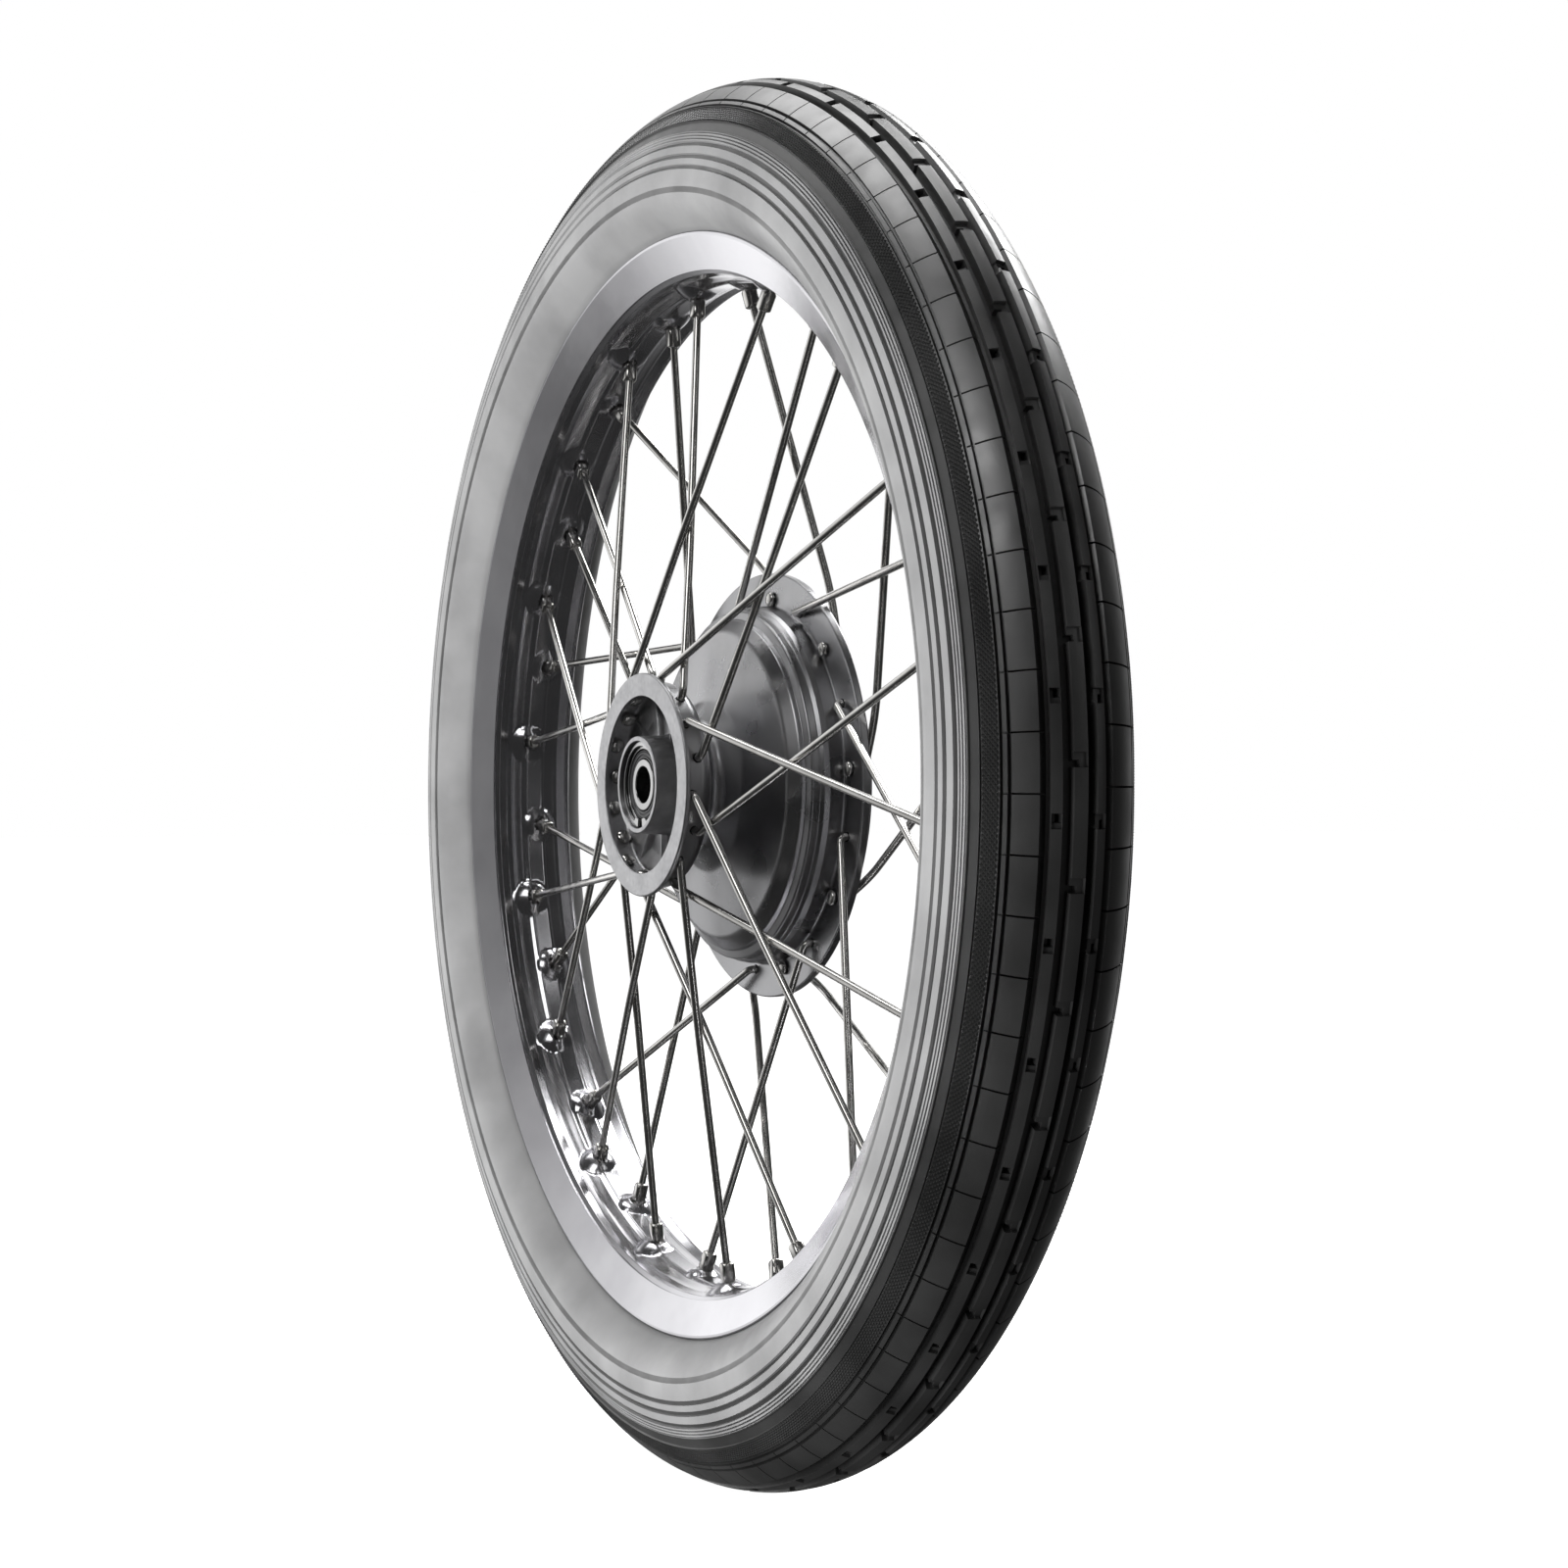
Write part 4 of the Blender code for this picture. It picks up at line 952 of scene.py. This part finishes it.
def brake_liner():
    outer = DRUM_INNER_RADIUS - GAP
    low, high = DRUM_MOUTH_Y - LINER_DEPTH, DRUM_MOUTH_Y - 0.0005
    inner = outer - LINER_THICKNESS
    loop = [(inner, low, 0.0005), (outer, low, 0.0004), (outer, high, 0.0005), (inner, high, 0.0010)]
    turned = lathe(rounded(loop), HUB_SEGMENTS)
    publish("drum_liner_ring", *turned, "iron", "wheel", "drum_iron", "brake_drum_liner")


# ---------------------------------------------------------------- bearings


def race(edge, track_radius, far, y):
    """A bearing ring, with a round track for the balls in its edge."""
    half = BEARING_HALF_WIDTH
    points = rounded(
        [(edge, -half, 0.0004), (far, -half, 0.0005), (far, half, 0.0005), (edge, half, 0.0004)], 3
    )
    for i in range(13):
        turn = pi * i / 12
        points.append((edge + (track_radius - edge) * sin(turn), TRACK_HALF_WIDTH * cos(turn)))
    return lathe([(r, station + y) for r, station in points], TURNED_SEGMENTS)


def shield(y, direction, inner, outer):
    """A rubber-faced shield with shallow rings pressed into it."""
    face = y + direction * (BEARING_HALF_WIDTH - SHIELD_CLEARANCE)
    back = face - direction * SHIELD_THICKNESS
    shares = [
        (0.00, 0.3), (0.06, 0.0), (0.22, 0.0), (0.30, 0.45), (0.42, 0.45), (0.50, 0.0), (0.72, 0.0),
        (0.80, 0.35), (0.88, 0.0), (0.96, 0.0), (1.00, 0.3),
    ]
    front = []
    for across, sunk in shares:
        front.append((inner + (outer - inner) * across, face - direction * SHIELD_THICKNESS * sunk))
    return lathe(front + [(outer, back), (inner, back)], TURNED_SEGMENTS)


def bearings():
    outer_edge, inner_edge = BEARING_RADIUS - RACE_WALL, BORE_RADIUS + RACE_WALL
    for side, y in (("left", LEFT_BEARING_Y), ("right", RIGHT_BEARING_Y)):
        outer = race(outer_edge, OUTER_TRACK_RADIUS, BEARING_RADIUS, y)
        publish(f"outer_race_{side}", *outer, "steel", "wheel", "bearing_steel", f"bearing_{side}_outer_ring")
        inner = race(inner_edge, INNER_TRACK_RADIUS, BORE_RADIUS, y)
        publish(
            f"inner_race_{side}", *inner, "steel", "axle_fixed", "bearing_steel", f"bearing_{side}_inner_ring"
        )
        outboard = -1 if side == "left" else 1
        for place, direction in (("outboard", outboard), ("inboard", -outboard)):
            disc = shield(y, direction, inner_edge + SHIELD_CLEARANCE, outer_edge - SHIELD_CLEARANCE)
            name, node = f"shield_{side}_{place}", f"bearing_{side}_{place}_seal"
            publish(name, *disc, "seal", "wheel", "seal_rubber", node)


def circlip():
    """A round-edged spring ring with an ear on both sides of its gap."""
    outer = BEARING_SEAT_RADIUS - CIRCLIP_CLEARANCE
    inner = outer - CIRCLIP_WIDTH
    low, high = CIRCLIP_Y, CIRCLIP_Y + CIRCLIP_THICKNESS
    corners = ((inner, low), (outer, low), (outer, high), (inner, high))
    section = rounded([(r, y, 0.0002) for r, y in corners], 2)
    verts = []
    for step in range(CIRCLIP_STEPS + 1):
        angle = -pi / 2 + CIRCLIP_GAP / 2 + (2 * pi - CIRCLIP_GAP) * step / CIRCLIP_STEPS
        from_end = min(step, CIRCLIP_STEPS - step)
        ear = CIRCLIP_EAR * max(0.0, 1 - (max(from_end - CIRCLIP_EAR_STEPS, 0) / 2) ** 2)
        verts += [around(r - ear * (outer - r) / (outer - inner), angle, y) for r, y in section]
    faces = rod_faces(CIRCLIP_STEPS + 1, len(section))
    publish("retaining_ring", verts, faces, "steel", "wheel", "bearing_steel", "bearing_circlip")


# ---------------------------------------------------------------- camera, light and stage


def camera():
    azimuth, elevation = radians(63.57), radians(-0.44)
    distance, sideways, raised = 1.430, 0.0308, 0.0005
    back = Vector((sin(azimuth) * cos(elevation), -cos(azimuth) * cos(elevation), sin(elevation)))
    right = Vector((cos(azimuth), sin(azimuth), 0))
    up = back.cross(right)
    data = bpy.data.cameras.new("view")
    data.sensor_width = 36.0
    data.lens = 69.75
    data.clip_end = 50.0
    obj = placed("view", data)
    turn = Matrix((right, up, back)).transposed().to_4x4()
    obj.matrix_world = Matrix.Translation(back * distance + right * sideways + up * raised) @ turn
    bpy.context.scene.camera = obj


def softbox(name, place, width, height, power):
    data = bpy.data.lights.new(name, "AREA")
    data.shape = "RECTANGLE"
    data.size = width
    data.size_y = height
    data.energy = power
    obj = placed(name, data)
    facing = Vector(place).to_track_quat("Z", "Y")
    obj.matrix_world = Matrix.Translation(place) @ facing.to_matrix().to_4x4()
    return obj


def studio():
    """A white background, a soft dome that is bright behind the wheel's face, and the softboxes."""
    world = bpy.data.worlds.new("studio")
    bpy.context.scene.world = world
    bpy.context.scene.view_settings.view_transform = "Standard"
    world.use_nodes = True
    tree = world.node_tree
    tree.nodes.clear()

    def math(operation, *values):
        made = tree.nodes.new("ShaderNodeMath")
        made.operation = operation
        for socket, value in zip(made.inputs, values):
            if isinstance(value, (int, float)):
                socket.default_value = value
            else:
                tree.links.new(value, socket)
        return made.outputs[0]

    def fade(value, start, end, low):
        """From 1 where the value is under start down to low where it is over end."""
        made = tree.nodes.new("ShaderNodeMapRange")
        made.interpolation_type = "SMOOTHSTEP"
        for key, number in {"From Min": start, "From Max": end, "To Min": 1.0, "To Max": low}.items():
            made.inputs[key].default_value = number
        tree.links.new(value, made.inputs["Value"])
        return made.outputs[0]

    direction = tree.nodes.new("ShaderNodeSeparateXYZ")
    tree.links.new(tree.nodes.new("ShaderNodeTexCoord").outputs["Generated"], direction.inputs[0])
    behind = math("MAXIMUM", math("MULTIPLY_ADD", direction.outputs[0], -0.91, 0.09), 0.0)
    up = direction.outputs[2]
    off_level = fade(math("ABSOLUTE", up), 0.34, 0.74, 0.06)
    below = fade(math("MULTIPLY", up, -1.0), 0.10, 0.34, 0.14)
    dome_light = math("MULTIPLY", math("MULTIPLY", math("POWER", behind, DOME_FALL_OFF), off_level), below)
    seen = tree.nodes.new("ShaderNodeBackground")
    dome = tree.nodes.new("ShaderNodeBackground")
    tree.links.new(math("MULTIPLY_ADD", dome_light, DOME_STRENGTH, AMBIENT), dome.inputs["Strength"])
    for shade in (seen, dome):
        shade.inputs["Color"].default_value = (1, 1, 1, 1)
    path = tree.nodes.new("ShaderNodeLightPath")
    mix = tree.nodes.new("ShaderNodeMixShader")
    out = tree.nodes.new("ShaderNodeOutputWorld")
    tree.links.new(path.outputs["Is Camera Ray"], mix.inputs[0])
    tree.links.new(dome.outputs[0], mix.inputs[1])
    tree.links.new(seen.outputs[0], mix.inputs[2])
    tree.links.new(mix.outputs[0], out.inputs[0])
    for settings in SOFTBOXES:
        box = softbox(*settings)
        if settings[0] == "face_fill":
            box.visible_glossy = False


def floor():
    surface = Surface("pale_floor", specular=0.0)
    surface.colour(surface.noise(0.7, 2.0), (0.80, 0.80, 0.80), (0.84, 0.84, 0.84))
    surface.shader.inputs["Roughness"].default_value = 0.9
    surface.shader.inputs["Emission Color"].default_value = (1, 1, 1, 1)
    surface.shader.inputs["Emission Strength"].default_value = 0.97
    mesh = bpy.data.meshes.new("floor")
    low = cad_box[0].z - FLOOR_DROP
    corners = [(x * FLOOR_HALF, y * FLOOR_HALF, low) for x, y in ((-1, -1), (1, -1), (1, 1), (-1, 1))]
    mesh.from_pydata(corners, [], [(0, 1, 2, 3)])
    mesh.materials.append(surface.made)
    obj = placed("floor", mesh)
    obj.visible_glossy = False
    obj.visible_diffuse = False
    obj.visible_shadow = False


def carried_over():
    """Parts that keep the frame's shape, each with a finished material."""
    finishes = {
        "inner_tube": "tube", "rim_tape": "tube", "valve_stem": "brass", "valve_core": "brass",
        "valve_rim_nut": "spoke", "valve_cap": "cap", "bearing_spacer_tube": "steel",
        "bearing_left_ball_cage": "steel", "bearing_right_ball_cage": "steel",
    }
    for node, finish in finishes.items():
        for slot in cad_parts[node].material_slots:
            slot.material = MATERIALS[finish]


camera()
studio()
floor()
tyre()
rim()
hub()
brake_liner()
for spoke_index in range(SPOKE_COUNT):
    spoke(spoke_index)
bearings()
circlip()
carried_over()
